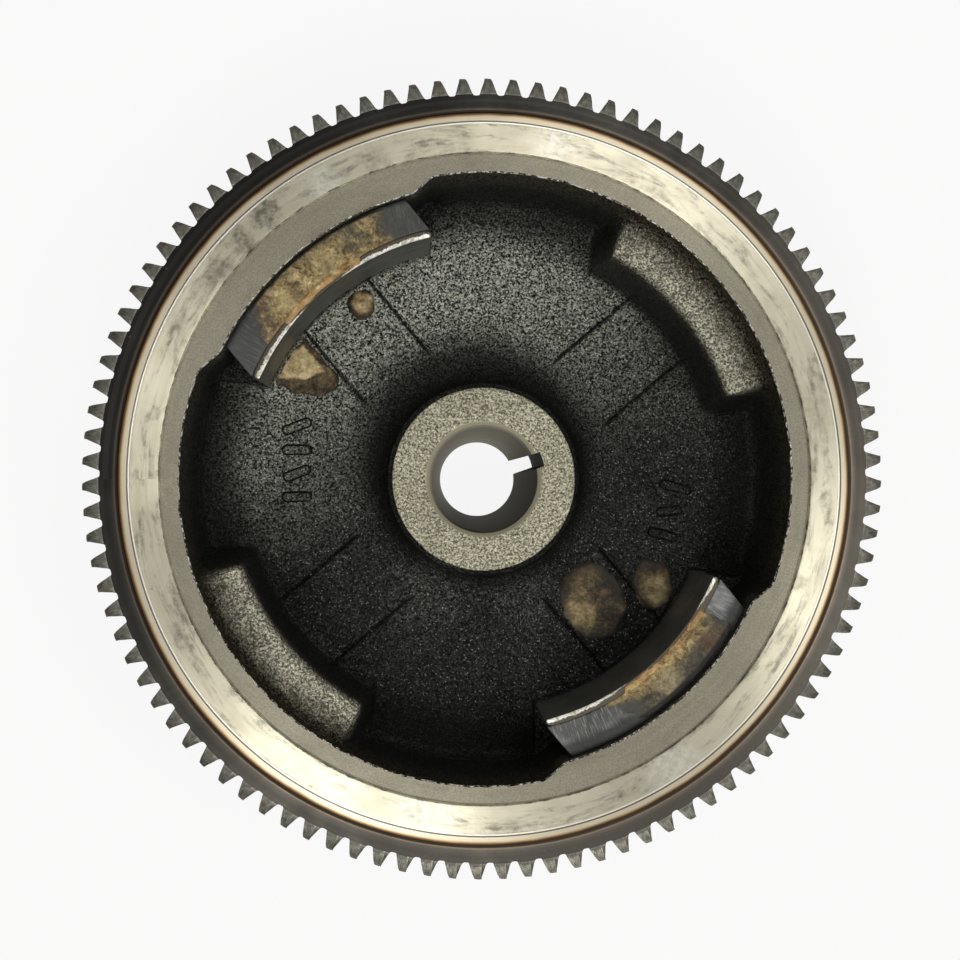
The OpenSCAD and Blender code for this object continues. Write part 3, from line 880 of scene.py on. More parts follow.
def makeRimSide():
    where = newMaterial("rimSide")
    radius, height, turn = placeOf(where)
    lines = useGroup("turning", height, radius, turn, 0.5, 0.0)
    stains = patches(where, 22.0, 0.45, 0.2)
    colour = blend(lines["Broad"], (0.2, 0.19, 0.16), (0.32, 0.3, 0.25))
    colour = blend(stains * 0.5, colour, (0.13, 0.11, 0.08))
    return dress(colour=colour, metal=0.8, rough=0.42, normal=bump(lines["Lines"], 0.05, 0.6))


castingMaterials = [makeCastSkin(), makeTurnedFace(), makeHubFace(), makeBoreFace(), makeRimSide()]
castIronWheel = makeCasting(castingMaterials)
print("casting shaped:", len(castIronWheel.data.polygons), "faces")


drilled = {
    "lugCircle": 65.0, "lugRadius": 4.0, "lugDeep": 5.0, "lugTurns": (40, 130, 220, 310),
    "balanceCircle": 106.8, "balanceRadius": 5.0, "balanceDeep": 11.0, "balanceTurns": (84, 96),
}
ignition = {
    "pocketFloor": 107.0, "pocketWidth": 46.4, "pocketHeight": 26.4,
    "middle": (wheel["rimBottom"] + wheel["gearBottom"]) / 2,
}


def drillShape(turn, circle, radius, base, deep):
    # a drill's shape: straight hole with a cone at its end, pointing up from base
    a = np.arange(40) * 9
    centre = np.array([*spin(circle, 0, turn), 0])
    profile = ((radius + 0.4, base - 1.0), (radius + 0.4, base), (radius, base + 0.4),
               (radius, base + deep),
               (0.15 * radius, base + deep + 0.3 * radius))
    return loftPiece("drill", [polar(r, a, z) + centre for r, z in profile], [castingMaterials[boreFace]])


def cutHoles(piece):
    d, w, g = drilled, wheel, ignition
    cutters = [drillShape(turn, d[kind + "Circle"], d[kind + "Radius"], w[base], d[kind + "Deep"])
               for kind, base in (("lug", "webBottom"), ("balance", "rimBottom"))
               for turn in d[kind + "Turns"]]
    half = g["pocketWidth"] / 2
    low, high = g["middle"] - g["pocketHeight"] / 2, g["middle"] + g["pocketHeight"] / 2
    loops = [[(-half, -y, low), (half, -y, low), (half, -y, high), (-half, -y, high)]
             for y in (g["pocketFloor"], w["rimOuter"] + 5)]
    cutters.append(loftPiece("pocketCutter", loops, [castingMaterials[boreFace]]))
    group = bpy.data.collections.new("cutters")
    bpy.context.scene.collection.children.link(group)
    for cutter in cutters:
        bpy.context.scene.collection.objects.unlink(cutter)
        group.objects.link(cutter)
    cut = piece.modifiers.new("holes", "BOOLEAN")
    cut.operand_type = "COLLECTION"
    cut.collection = group
    cut.solver = "EXACT"
    cut.material_mode = "TRANSFER"
    bakeModifiers(piece)
    for cutter in cutters:
        bpy.data.objects.remove(cutter)
    bpy.data.collections.remove(group)
    piece.data.set_sharp_from_angle(angle=math.radians(32))


cutHoles(castIronWheel)
standFor(castIronWheel, "flywheel_casting")
print("holes cut:", len(castIronWheel.data.polygons), "faces")


gear = {
    "teeth": 99, "module": 2.5, "pressure": 20.0,
    "firstTooth": 2.84,      # direction of a tooth, degrees
    "bevelFrom": 120.95,     # radius where the filed tooth ends start
    "endDrop": 0.75,         # fall of the tooth end towards its tip, mm
    "ridge": 0.22,           # place of the ridge, as a share of the tooth's width
    "wideSlope": 0.30, "narrowSlope": 0.95,
    "edge": 0.22,            # rounding of the edges, mm
    "boreChamfer": 1.0,
    "nick": 0.05,            # unevenness from wear, mm
    "seed": 4,
}


def halfTooth(radius):
    # half the angle of a tooth at a radius, degrees: an involute flank
    g = gear
    pitch = g["module"] * g["teeth"] / 2
    base = pitch * math.cos(math.radians(g["pressure"]))

    def involute(r):
        a = math.acos(min(1.0, base / r))
        return math.degrees(math.tan(a) - a)

    return 90 / g["teeth"] + involute(pitch) - involute(radius)


def toothOutline():
    # half of a tooth and of the gap beside it, from the tooth's middle: [direction, radius]
    g = gear
    tip = wheel["gearTip"]
    root = g["module"] * (g["teeth"] / 2 - 1.25)
    points = [(0.0, tip)]
    tipHalf = halfTooth(tip)
    roundBy = math.degrees(0.35 / tip)
    points += [(tipHalf * 0.5, tip), (tipHalf - roundBy, tip), (tipHalf - roundBy * 0.25, tip - 0.12)]
    for k in range(1, 7):
        r = tip - 0.35 - (tip - 0.35 - root - 0.9) * k / 6
        points.append((halfTooth(r), r))
    footHalf = points[-1][0]
    end = 180 / g["teeth"]
    floorHalf = end - footHalf
    for k in range(1, 4):
        a = math.radians(30 * k)
        points.append((footHalf + floorHalf * 0.62 * (1 - math.cos(a)) * 0.95, root + 0.9
                       * (1 - math.sin(a))))
    points.append((end, root))
    return points


def makeToothSector(materials):
    # one tooth with its share of the ring, to be repeated round the wheel
    g, top, bottom, tip, seat = gear, wheel["gearTop"], wheel["gearBottom"], wheel["gearTip"], wheel["seat"]
    edge, bevel, chamfer = g["edge"], g["bevelFrom"], g["boreChamfer"]
    half = toothOutline()
    outline = [(-a, r) for a, r in half[::-1]] + half[1:]
    ridge = 2 * g["ridge"] * halfTooth(g["module"] * (g["teeth"] / 2 - 1.25) + 0.9)

    def endTop(turn, radius):
        # height of the filed end: a ridge along the tooth with a wide and a narrow facet
        if radius <= bevel:
            return top
        across = math.radians(turn - ridge) * radius
        slope = g["narrowSlope"] if across > 0 else g["wideSlope"]
        out = (radius - bevel) / (tip - bevel)
        return top - (min(1.0, out * 6) * (0.2 + slope * abs(across)) + g["endDrop"] * out)

    # an extra line of points along the ridge keeps it sharp
    outline = ([p for p in outline if p[0] < ridge - 0.02] + [(ridge, tip)]
               + [p for p in outline if p[0] > ridge + 0.02])
    loops = []
    for turn, r in outline:
        filed = r > bevel + 0.5
        start, inner = (max(r - edge, bevel + 0.02), bevel) if filed else (r - edge, r - edge)
        slope = [start + (inner + 0.02 - start) * k for k in (0.0, 0.12, 0.3, 0.5, 0.7, 0.88)]
        column = [(seat, bottom + 0.4), (seat + 0.4, bottom), (r - 2.0, bottom), (r - edge, bottom),
                  (r, bottom + edge), (r, bottom + 4), (r, top - 5), (r, endTop(turn, r) - edge),
                  *((s, endTop(turn, s)) for s in slope), (inner, top), (inner - 0.25, top),
                  (seat + chamfer + 1.5, top), (seat + chamfer, top), (seat + 0.25, top - chamfer + 0.25),
                  (seat, top - chamfer - 0.1)]
        loops.append([polar(radius, turn, z) for radius, z in column])
    count, around = len(loops), len(loops[0])
    piece = makePiece("toothSector", loops, gridFaces(count, around, wrapColumns=True), materials)
    filed = [7 <= j < 14 and min(outline[i][1], outline[i + 1][1]) > bevel + 0.6
             for i in range(count - 1) for j in range(around)]
    paint(piece, "filedEnd", "FACE", filed)
    return piece


def buildToothRing(body, filed):
    # repeats the sector round the axis, welds it, roughens it and gives it its two finishes
    names = ("First Tooth", "Weld", "Nick Depth", "Nick Size", "Seed")
    ins, outs = newTree("toothRing", "Geometry", {"Geometry": "Geometry", "Teeth": "Int",
                                                  **dict.fromkeys(names, "Float")},
                                                  {"Geometry": "Geometry"})
    turn = get("GeometryNodeInputIndex") / ins["Teeth"] * (2 * math.pi) + ins["First Tooth"]
    places = get("GeometryNodePoints", {"Count": ins["Teeth"]})
    shape = get("GeometryNodeInstanceOnPoints", {"Points": places, "Instance": ins["Geometry"],
                                                 "Rotation": vector(0.0, 0.0, turn)})
    shape = get("GeometryNodeRealizeInstances", {"Geometry": shape})
    shape = get("GeometryNodeMergeByDistance", {"Geometry": shape, "Distance": ins["Weld"]})
    nicks = get("ShaderNodeTexNoise", {"W": ins["Seed"], "Scale": ins["Nick Size"], "Detail": 3.0}, "Color",
                noise_dimensions="4D")
    nicks = vectorMath("SCALE", vectorMath("SUBTRACT", nicks, (0.5, 0.5, 0.5)), ins["Nick Depth"])
    shape = get("GeometryNodeSetPosition", {"Geometry": shape, "Offset": nicks})
    shape = get("GeometryNodeSetMaterial", {"Geometry": shape, "Material": body})
    isFiled = calc("GREATER_THAN",
                   get("GeometryNodeInputNamedAttribute", {"Name": "filedEnd"}, data_type="FLOAT"), 0.5)
    feed(outs["Geometry"], get("GeometryNodeSetMaterial", {"Geometry": shape, "Selection": isFiled,
                                                           "Material": filed}))


def makeRingGear(body, filed):
    piece = makeToothSector([body, filed])
    piece.name = "starterRingGear"
    buildToothRing(body, filed)
    grow(piece, "toothRing", 28, {"Teeth": gear["teeth"], "First Tooth": math.radians(gear["firstTooth"]),
                                  "Weld": 0.004 * mm, "Nick Depth": gear["nick"] * 2 * mm,
                                  "Nick Size": 600.0, "Seed": float(gear["seed"])})
    standFor(piece, "ring_gear")
    print("ring gear made:", len(piece.data.polygons), "faces")


def makeGearSteel():
    where = newMaterial("gearSteel")
    radius, height, turn = placeOf(where)
    sootAndShade = patches(where, 30.0, 0.5, 0.22)
    specks = patches(where, 1.6, 0.1, 0.05)
    lines = useGroup("turning", radius, height, turn, 0.35, 0.1)
    # painted light: the face is lighter towards the lower right, the edge of it broken up by soot patches
    sideways = dot(where, (600.0, -450.0, 0.0))
    litAndClean = step(sootAndShade * 40.0 + sideways, -75.0, 115.0)
    colour = blend(litAndClean, (0.008, 0.008, 0.0075), (0.066, 0.06, 0.05))
    colour = blend(step(lines["Broad"], 0.42, 0.64, 0.0, 0.45), colour,
                   blend(litAndClean, (0.03, 0.028, 0.025), (0.13, 0.115, 0.095)))
    nearBore = step(radius, wheel["seat"] + 1.9, wheel["seat"] + 0.9)
    colour = blend(nearBore * step(litAndClean, 0.0, 1.0, 0.25, 0.75), colour, (0.22, 0.17, 0.12))
    colour = blend(specks * 0.35, colour, (0.2, 0.18, 0.14))
    return dress(colour=colour, metal=0.75, rough=step(sootAndShade, 0.0, 1.0, 0.46, 0.36),
                 normal=bump(lines["Lines"], 0.05, 0.7))


def makeFiledSteel():
    where = newMaterial("filedSteel")
    mottle = noiseAt(where, 620.0, 4.0, 0.72)
    broad = patches(where, 40.0, 0.5, 0.25)
    radius, _, turn = placeOf(where)
    mixed = noiseAt(vector(radius * 0.35, turn * 700.0), 1.0, 3.0, 0.7) * 0.5 + mottle * 0.5
    colour = ramp(mixed, [(0.36, (0.03, 0.028, 0.022)), (0.47, (0.15, 0.145, 0.12)),
                   (0.56, (0.34, 0.33, 0.28)), (0.68, (0.66, 0.64, 0.56))])
    colour = blend(broad * 0.35, colour, (0.1, 0.095, 0.075))
    # the teeth are lighter near the roots and darker at the tips
    alongRadius = mottle * 5.0 + radius
    colour = blend(step(alongRadius, 126.5, 121.5, 0.0, 0.55), colour, (0.52, 0.5, 0.43))
    colour = blend(step(alongRadius, 125.0, 128.0, 0.0, 0.55), colour, (0.055, 0.05, 0.038))
    return dress(colour=colour, metal=0.75, rough=0.42, normal=bump(mixed, 0.12, 0.7))


makeRingGear(makeGearSteel(), makeFiledSteel())


magnet = {
    "edge": 0.45, "chip": 0.12, "stations": 56, "seed": 31,
    # films on the bare ends: x, y, size, softness (mm), strength, colour
    "stains": (
        (-31.0, 80.5, 8.0, 5.0, 0.7, (0.030, 0.032, 0.024)),
        (73.5, -40.0, 5.0, 3.0, 0.75, (0.24, 0.25, 0.26)),
        (78.5, -43.0, 3.0, 2.0, 0.8, (0.03, 0.026, 0.02)),
    ),
}
shoe = {
    "edge": 0.3, "chip": 0.03, "stations": 72, "proud": 0.5,
    "covered": ((-54.5, 60.0, 7.0), (58.0, -56.5, 16.5)),  # dirt on the top edge: x, y, size in mm
}
glue = {
    "stations": 150, "rows": 40, "thick": 0.5, "seed": 71,
    # reach of the adhesive over the magnet and over the shoe's edge, mm either side of the middle
    "a": {"from": -26.0, "to": 25.0, "shoeFrom": -13.0, "shoeTo": 18.0, "slant": -5.0},
    "b": {"from": -14.0, "to": 27.0, "shoeFrom": -11.0, "shoeTo": 26.0, "slant": 7.0},
    # local colours of the adhesive: x, y, size, softness (mm), strength, colour
    "stains": (
        (-42.3, 74.7, 5.0, 2.5, 0.85, (0.036, 0.041, 0.028)),
        (-60.5, 58.3, 2.6, 1.5, 0.75, (0.050, 0.036, 0.014)),
        (-64.1, 55.3, 2.4, 1.5, 0.7, (0.44, 0.35, 0.17)),
        (-72.0, 53.5, 5.0, 3.0, 0.75, (0.072, 0.047, 0.042)),
        (-52.0, 68.0, 3.5, 2.0, 0.5, (0.40, 0.33, 0.17)),
        (72.5, -51.5, 4.5, 3.0, 0.75, (0.095, 0.042, 0.018)),
        (57.5, -64.5, 4.0, 2.5, 0.6, (0.52, 0.42, 0.24)),
        (66.5, -58.0, 3.0, 2.0, 0.75, (0.050, 0.046, 0.034)),
    ),
}


fifths = np.array([[0.2], [0.4], [0.6], [0.8]])  # steps along the straight sides of a bar


def onWheel(points, turn):
    # points given along the radius, across it and along the axis, placed in the wheel's direction
    points = np.asarray(points, float)
    return np.stack([*spin(points[..., 0], points[..., 1], turn), points[..., 2]], axis=-1)


def arcBar(name, inner, outer, half, low, high, turn, material, edge, stations, chip, seed,
           roundEnds=False):
    # curved bar with parallel ends and rounded edges
    thick = outer - inner
    endReach = thick / 2 if roundEnds else edge
    near = half - endReach
    ends = [half - endReach * (1 - math.sin(math.radians(a))) for a in (80, 62, 45, 28, 12)]
    loops = []
    for v in [-e for e in ends] + list(np.linspace(-1, 1, stations)[1:-1] * near) + ends[::-1]:
        past = max(0.0, (abs(v) - near) / endReach)
        narrow = min(endReach * (1 - math.sqrt(max(0.0, 1 - past * past))), thick / 2 * 0.94)
        inset = min(narrow, edge)
        xIn = math.sqrt(inner ** 2 - v * v) + narrow
        xOut = math.sqrt(outer ** 2 - v * v) - narrow
        e = min(edge, (xOut - xIn) * 0.4)
        xIn, xOut, lowZ, highZ = xIn + e, xOut - e, low + inset + e, high - inset - e
        corners = []
        for x, z, start in ((xIn, lowZ, 180), (xOut, lowZ, 270), (xOut, highZ, 0), (xIn, highZ, 90)):
            a = np.radians(start + 30 * np.arange(4))
            corners.append(np.stack([x + e * np.cos(a), v + 0 * a, z + e * np.sin(a)], axis=1))
        loops.append(np.concatenate([part for here, there in zip(corners, corners[1:] + corners[:1])
                                     for part in (here, here[-1] + (there[0] - here[-1]) * fifths)]))
    loops = np.asarray(loops, float)
    loops += chip * lumpyNoise(loops, 2.5, seed, 3)[..., None] * np.array([0.6, 0.3, 1.0])
    return loftPiece(name, onWheel(loops, turn), [material], sharpAngle=40)


def slabFaces(n, m):
    # faces of a slab whose top grid and bottom grid both have n by m points
    ring = [i * m for i in range(n)] + [(n - 1) * m + j for j in range(1, m)]
    ring += [i * m + m - 1 for i in range(n - 2, -1, -1)] + list(range(m - 2, 0, -1))
    sides = [(a, b, b + n * m, a + n * m) for a, b in zip(ring, ring[1:] + ring[:1])]
    return gridFaces(n, m) + gridFaces(n, m, start=n * m, flip=True) + sides


def makeSlab(name, top, base, material, **values):
    # a slab from a grid of points down to the height of its base, with named values for the points
    bottom = top.copy()
    bottom[..., 2] = base
    piece = makePiece(name, np.concatenate([top.reshape(-1, 3), bottom.reshape(-1, 3)]),
                      slabFaces(*top.shape[:2]), [material], sharpAngle=60)
    for key, value in values.items():
        paint(piece, key, "POINT", np.concatenate([value.ravel(), np.ones(value.size)]))
    faceOut(piece)
    return piece


def glueSkin(name, letter, turn, material, inner, outer, base):
    # a skin of adhesive: a slab whose top stands clear of its base only where the adhesive is
    span, seed = glue[letter], glue["seed"] + 5 * "ab".index(letter)
    v = np.linspace(span["from"] - 4, span["to"] + 4, glue["stations"])[:, None]
    u = np.linspace(0, 1, glue["rows"])[None, :]
    r = inner + (outer - inner) * u
    x = np.sqrt(r * r - v * v)
    top = onWheel(np.stack(np.broadcast_arrays(x, v + 0 * u, 0 * x + base), axis=-1), turn)
    outline, fine = lumpyNoise(top, 8.0, seed, 4), lumpyNoise(top, 2.0, seed + 8, 3)
    edge = 3.2 * outline + 1.2 * fine
    start = span["from"] + span["slant"] * (u - 0.5)
    stop = span["to"] + 0.5 * span["slant"] * (u - 0.5)
    ends = ease(start - 1.5, start + 1.5, v + edge) * ease(stop + 1.5, stop - 1.5, v - edge)
    thin = 1 - ease(start, start + 6.0, v + 1.4 * edge) * ease(stop, stop - 4.0, v - 1.4 * edge)
    thin = np.maximum(thin * ease(0.05, 0.45, u + 0.0 * v), 1 - ends)
    onShoe = ease(span["shoeFrom"] - 1, span["shoeFrom"] + 1, v + edge)
    onShoe = onShoe * ease(span["shoeTo"] + 1, span["shoeTo"] - 1, v - edge)
    innerEdge = wheel["magnetInner"] - 1.9 * onShoe + 0.5 * fine
    cover = ends * ease(innerEdge - 0.15, innerEdge + 0.25, r) * ease(1.0, 0.93, u) * ease(-0.85,
                                                                                           -0.35, outline)
    lift = shoe["proud"] * ease(wheel["magnetInner"] + 0.6, wheel["magnetInner"] + 0.1, r) * onShoe
    top[..., 2] = base - 0.12 + cover * (0.20 + lift + glue["thick"]
                                         * (0.42 + 0.35 * outline + 0.32 * fine))
    return makeSlab(name, top, base - 0.35, material, thin=thin)


def insideOutline(x, y, corners):
    # distance in mm from the nearest side of an anticlockwise outline, positive inside
    inside = np.full(x.shape, 1e9)
    for a, b in zip(corners, np.roll(corners, -1, axis=0)):
        d = (b - a) / np.hypot(*(b - a))
        inside = np.minimum(inside, d[0] * (y - a[1]) - d[1] * (x - a[0]))
    return inside


def gluePuddle(name, material, corners, pale, strength, height, soften, fade, seed, size=70):
    # dried adhesive on the web inside a rounded outline, paler inside a second one; corners in mm
    corners = np.asarray(corners, float)
    low, high = corners.min(0) - soften - 1.5, corners.max(0) + soften + 1.5
    x, y = np.meshgrid(*(np.linspace(low[i], high[i], size) for i in (0, 1)), indexing="ij")
    ground = wheel["webTop"] + webRelief(x, y)
    points = np.stack([x, y, ground], axis=-1)
    inside = insideOutline(x, y, corners) + 1.5 * lumpyNoise(points, 4.0, seed, 4)
    centre = insideOutline(x, y, np.asarray(pale, float)) + 1.2 * lumpyNoise(points, 2.5, seed + 9, 4)
    thin = ease(fade, 0.2, inside + (0.6 + 0.4 * fade) * lumpyNoise(points, 3.0, seed + 6, 4))
    rise = ease(-0.3, soften, inside)
    points[..., 2] += -0.4 + rise * (0.55 + height) + rise * 0.18 * lumpyNoise(points, 1.6, seed + 3, 3)
    pale = strength * ease(-fade * 0.4, fade * 0.6, centre)
    rideOnly(makeSlab(name, points, ground - 0.8, material, thin=thin, pale=pale))


def ellipseCorners(centre, width, height, lean=0.0, count=14):
    a = np.radians(np.arange(count) * 360 / count)
    x, y = spin(width / 2 * np.cos(a), height / 2 * np.sin(a), lean)
    return np.stack([centre[0] + x, centre[1] + y], axis=1)


def makeFerrite():
    where = newMaterial("ferrite")
    radius, _, turn = placeOf(where)
    grain = useGroup("sandGrain", where, 0.35, 0.25)
    film = patches(where, 14.0, 0.45, 0.2)
    smoke = patches(where, 6.0, 0.32, 0.14)
    # the lower magnet is wiped cleaner than the upper one
    wiped = step(dot(where, (770.0, -640.0, 0.0)), -20.0, 20.0)
    colour = blend(film, (0.038, 0.041, 0.039), (0.072, 0.075, 0.071))
    colour = blend(wiped, colour, blend(film, (0.052, 0.054, 0.052), (0.145, 0.15, 0.148)))
    colour = spotsOver(where, colour, magnet["stains"])
    colour = blend(smoke * 0.75, colour, (0.025, 0.025, 0.022))
    # grinding marks run outwards
    ground = noiseAt(vector(radius * 0.15, turn * 130.0), 1.0, 3.0, 0.75)
    colour = blend(step(ground, 0.48, 0.7) * step(wiped, 0.0, 1.0, 0.2, 0.75), colour, (0.3, 0.31, 0.3))
    # painted shadow: the magnet's outer edge goes black where the seat wall shades it, further in on the
    # lower magnet
    sootAndShade = step(noiseAt(where, 240.0, 4.0, 0.7) * 3.0 + (wiped * 3.6 + radius), 91.6, 94.2)
    colour = blend(sootAndShade * 0.9, colour, (0.012, 0.012, 0.011))
    return dress(colour=colour, metal=0.2, rough=0.5, normal=bump(grain["Height"], 0.08, 0.7))


def makeShoeSteel():
    where = newMaterial("shoeSteel")
    radius, height, turn = placeOf(where)
    scuffs = noiseAt(where, 520.0, 4.0, 0.75)
    film = patches(where, 12.0, 0.5, 0.25)
    top = wheel["magnetTop"] + shoe["proud"]
    onTop = step(height, top - 0.3, top - 0.14)

    def dirt(wider, softness, ragged):
        return calc("ADD", *[spotAt(where, x, y, size + wider, softness, ragged)
                             for x, y, size in shoe["covered"]], clamp=True)

    alongRadius = dirt(5.0, 8.0, 4.0) * 1.3 + (scuffs * 2.8 + radius)
    worn = onTop * step(alongRadius, wheel["shoeInner"] + 2.75, wheel["shoeInner"] + 2.45)
    worn = worn * (1.0 - dirt(0.0, 2.0, 8.0))
    # drawing marks run along the plate's inner face
    drawn = noiseAt(vector(height * 1.6, turn * 5.0), 1.0, 4.0, 0.7)
    colour = blend(film, (0.14, 0.14, 0.125), (0.22, 0.22, 0.2))
    colour = blend(step(drawn, 0.56, 0.72, 0.0, 0.6), colour, (0.42, 0.42, 0.38))
    colour = blend(onTop, colour, (0.085, 0.075, 0.055))
    colour = blend(worn, colour, blend(step(scuffs, 0.4, 0.56), (0.5, 0.47, 0.38), (0.97, 0.96, 0.9)))
    return dress(colour=colour, metal=0.75, rough=step(worn, 0.0, 1.0, 0.5, 0.28),
                 normal=bump(scuffs, 0.12, 0.8))


def makeAdhesive():
    # dried rust-stained adhesive: ochre and cream near the shoe, dirty brown and black outside
    where = newMaterial("adhesive")
    radius, _, _ = placeOf(where)
    broad = noiseAt(where, 85.0, 5.0, 0.62, 1.0)
    middle = noiseAt(where, 300.0, 5.0, 0.7, 0.6)
    fine = noiseAt(where, 1100.0, 3.0, 0.75)
    lower = step(dot(where, (770.0, -640.0, 0.0)), -20.0, 20.0)
    mixed = middle * 0.5 + (fine * 0.25 + broad * 0.25)
    ochre = ramp(mixed, [(0.41, (0.045, 0.032, 0.014)), (0.46, (0.14, 0.098, 0.04)),
                  (0.51, (0.29, 0.215, 0.09)), (0.56, (0.45, 0.345, 0.16)), (0.62, (0.72, 0.62, 0.38))])
    dirty = ramp(mixed, [(0.4, (0.01, 0.01, 0.008)), (0.47, (0.034, 0.031, 0.022)),
                  (0.54, (0.08, 0.068, 0.043)), (0.62, (0.22, 0.19, 0.12))])
    # above it spreads to the seat, below it keeps to a band beside the shoe
    outwards = lower * 6.0 + (broad * 16.0 + (middle * 6.0 + radius))
    outside = step(outwards, 99.6, 103.4) * step(lower, 0.0, 1.0, 0.62, 0.96)
    colour = blend(outside, ochre, dirty)
    colour = spotsOver(where, colour, glue["stains"])
    rust = step(middle * 6.0 + radius, 85.0, 83.4)
    colour = blend(rust * step(mixed, 0.4, 0.6, 0.15, 0.75), colour, (0.46, 0.245, 0.085))
    colour = blend(painted("thin") * 0.9, colour, (0.055, 0.054, 0.048))
    # painted shadow: the adhesive goes black beside the seat wall, further in on the lower magnet
    colour = blend(step(lower * 1.6 + radius, 90.8, 91.9), colour, (0.01, 0.009, 0.007))
    return dress(colour=colour, rough=0.5, specular=0.35, normal=bump(mixed, 1.3, 0.9))


def makeStain():
    # older adhesive on the web: cream in the middle, brown towards its rim
    where = newMaterial("driedAdhesive")
    broad = noiseAt(where, 110.0, 5.0, 0.66, 0.6)
    fine = noiseAt(where, 900.0, 4.0, 0.78)
    pale = painted("pale")
    mixed = fine * 0.42 + broad * 0.58
    brown = ramp(mixed, [(0.42, (0.01, 0.008, 0.005)), (0.49, (0.05, 0.036, 0.017)),
                  (0.56, (0.13, 0.088, 0.04)), (0.64, (0.27, 0.19, 0.095))])
    cream = ramp(mixed, [(0.38, (0.15, 0.105, 0.05)), (0.48, (0.4, 0.3, 0.145)), (0.6, (0.68, 0.57, 0.34))])
    colour = blend(pale, brown, cream)
    colour = blend(painted("thin") * (pale * -0.5 + 0.93), colour, (0.016, 0.012, 0.008))
    return dress(colour=colour, rough=0.6, specular=0.3, normal=bump(fine, 0.35, 0.9))


def makeMagnets():
    steel, adhesive = makeShoeSteel(), makeAdhesive()
    w = wheel
    low, high = w["magnetBottom"], w["magnetTop"]
    for letter, turn in zip("ab", w["magnetTurns"]):
        seed = magnet["seed"] + 7 * "ab".index(letter)
        block = arcBar("chargingMagnet_" + letter, w["magnetInner"], w["magnetOuter"], w["magnetHalf"],
                       low, high, turn, ferrite, magnet["edge"], magnet["stations"], magnet["chip"], seed)
        standFor(block, "charging_magnet_" + letter)
        plate = arcBar("poleShoe_" + letter, w["shoeInner"], w["magnetInner"], w["shoeHalf"],
                       low, high + shoe["proud"], turn, steel, shoe["edge"], shoe["stations"],
                       shoe["chip"], seed + 2, roundEnds=True)
        standFor(plate, "charging_pole_shoe_" + letter)
        bond = arcBar("magnetBond_" + letter, w["magnetOuter"], w["seatWall"] + 0.15,
                      w["magnetHalf"] + 0.4, low, high - 0.9, turn, adhesive, 0.1, 60, 0.05, seed + 4)
        standFor(bond, "magnet_bond_" + letter)
        smear = glueSkin("adhesiveSmear_" + letter, letter, turn, adhesive, w["shoeInner"] + 0.3,
                         w["seatWall"] - 0.4, high)
        standFor(smear, "adhesive_smear_" + letter)
    print("magnets, pole shoes and adhesive made")


ferrite = makeFerrite()
makeMagnets()


puddles = {
    # outline, its paler part, that part's strength, height, widths of edge and rim in mm, seed
    "glueDrop": (ellipseCorners((-41, 59.2), 12.0, 12.5), ellipseCorners((-40.6, 60.2), 7.5, 8.0),
                 1.0, 0.9, 3.0, 3.0, 101),
    "glueWedge": ([(-54.0, 27.6), (-49.6, 30.6), (-48.6, 34.8), (-54.0, 41.6), (-60.6, 48.2), (-65.4, 43.0),
                   (-69.4, 36.8), (-72.2, 32.4), (-62.5, 28.8)],
                  [(-69.2, 34.6), (-61, 34.0), (-53.8, 36.8), (-60.8, 46.2), (-65.6, 41.8)],
                  1.0, 0.5, 1.2, 0.9, 117),
    "glueFilmWide": (ellipseCorners((38.5, -42.0), 23.5, 28.5, 20),
                     ellipseCorners((33.5, -47.0), 11, 14, 35),
                     0.50, 0.30, 1.6, 6.0, 133),
    "glueFilmSmall": (ellipseCorners((59.4, -36.4), 15.5, 19.0, 10),
                      ellipseCorners((60.5, -38.5), 9, 11, 0),
                      0.42, 0.40, 1.6, 4.5, 149),
}


def makePuddles():
    stain = makeStain()
    for name, values in puddles.items():
        gluePuddle(name, stain, *values)
    print("dried adhesive on the web made")


makePuddles()


marks = {
    # raised foundry marks without meaning: centre, direction of the row, count, spacing, size in mm
    "rows": (
        {"name": "marksLeft", "centre": (-63.0, 6.0), "lean": 90.0, "count": 4, "spacing": 8.0,
         "length": 8.5},
        {"name": "marksRight", "centre": (65.0, -11.0), "lean": 75.0, "count": 3, "spacing": 8.5,
         "length": 9.5},
    ),
    "width": 2.2, "rise": 1.25,
}


def makeMarkBar(name, length, material):
    # one raised stroke with rounded ends and sloping sides
    a = np.radians(np.arange(20) * 18)
    width, rise = marks["width"], marks["rise"]
    shift = np.where(np.cos(a) >= 0, 1, -1) * (length - width) / 2
    profile = ((0.95, -0.8), (0.75, 0.10), (0.35, 0.18), (0.10, rise * 0.8), (-0.30, rise))
    loops = [np.stack([shift + (width / 2 + grown) * np.cos(a), (width / 2 + grown) * np.sin(a), 0 * a
                       + z], axis=1)
             for grown, z in profile]
    piece = loftPiece(name, loops, [material])
    # painted shade: the foot of the stroke is marked for darkening
    paint(piece, "markFootShade", "POINT", [v.co.z < rise * 0.5 * mm for v in piece.data.vertices])
    return piece


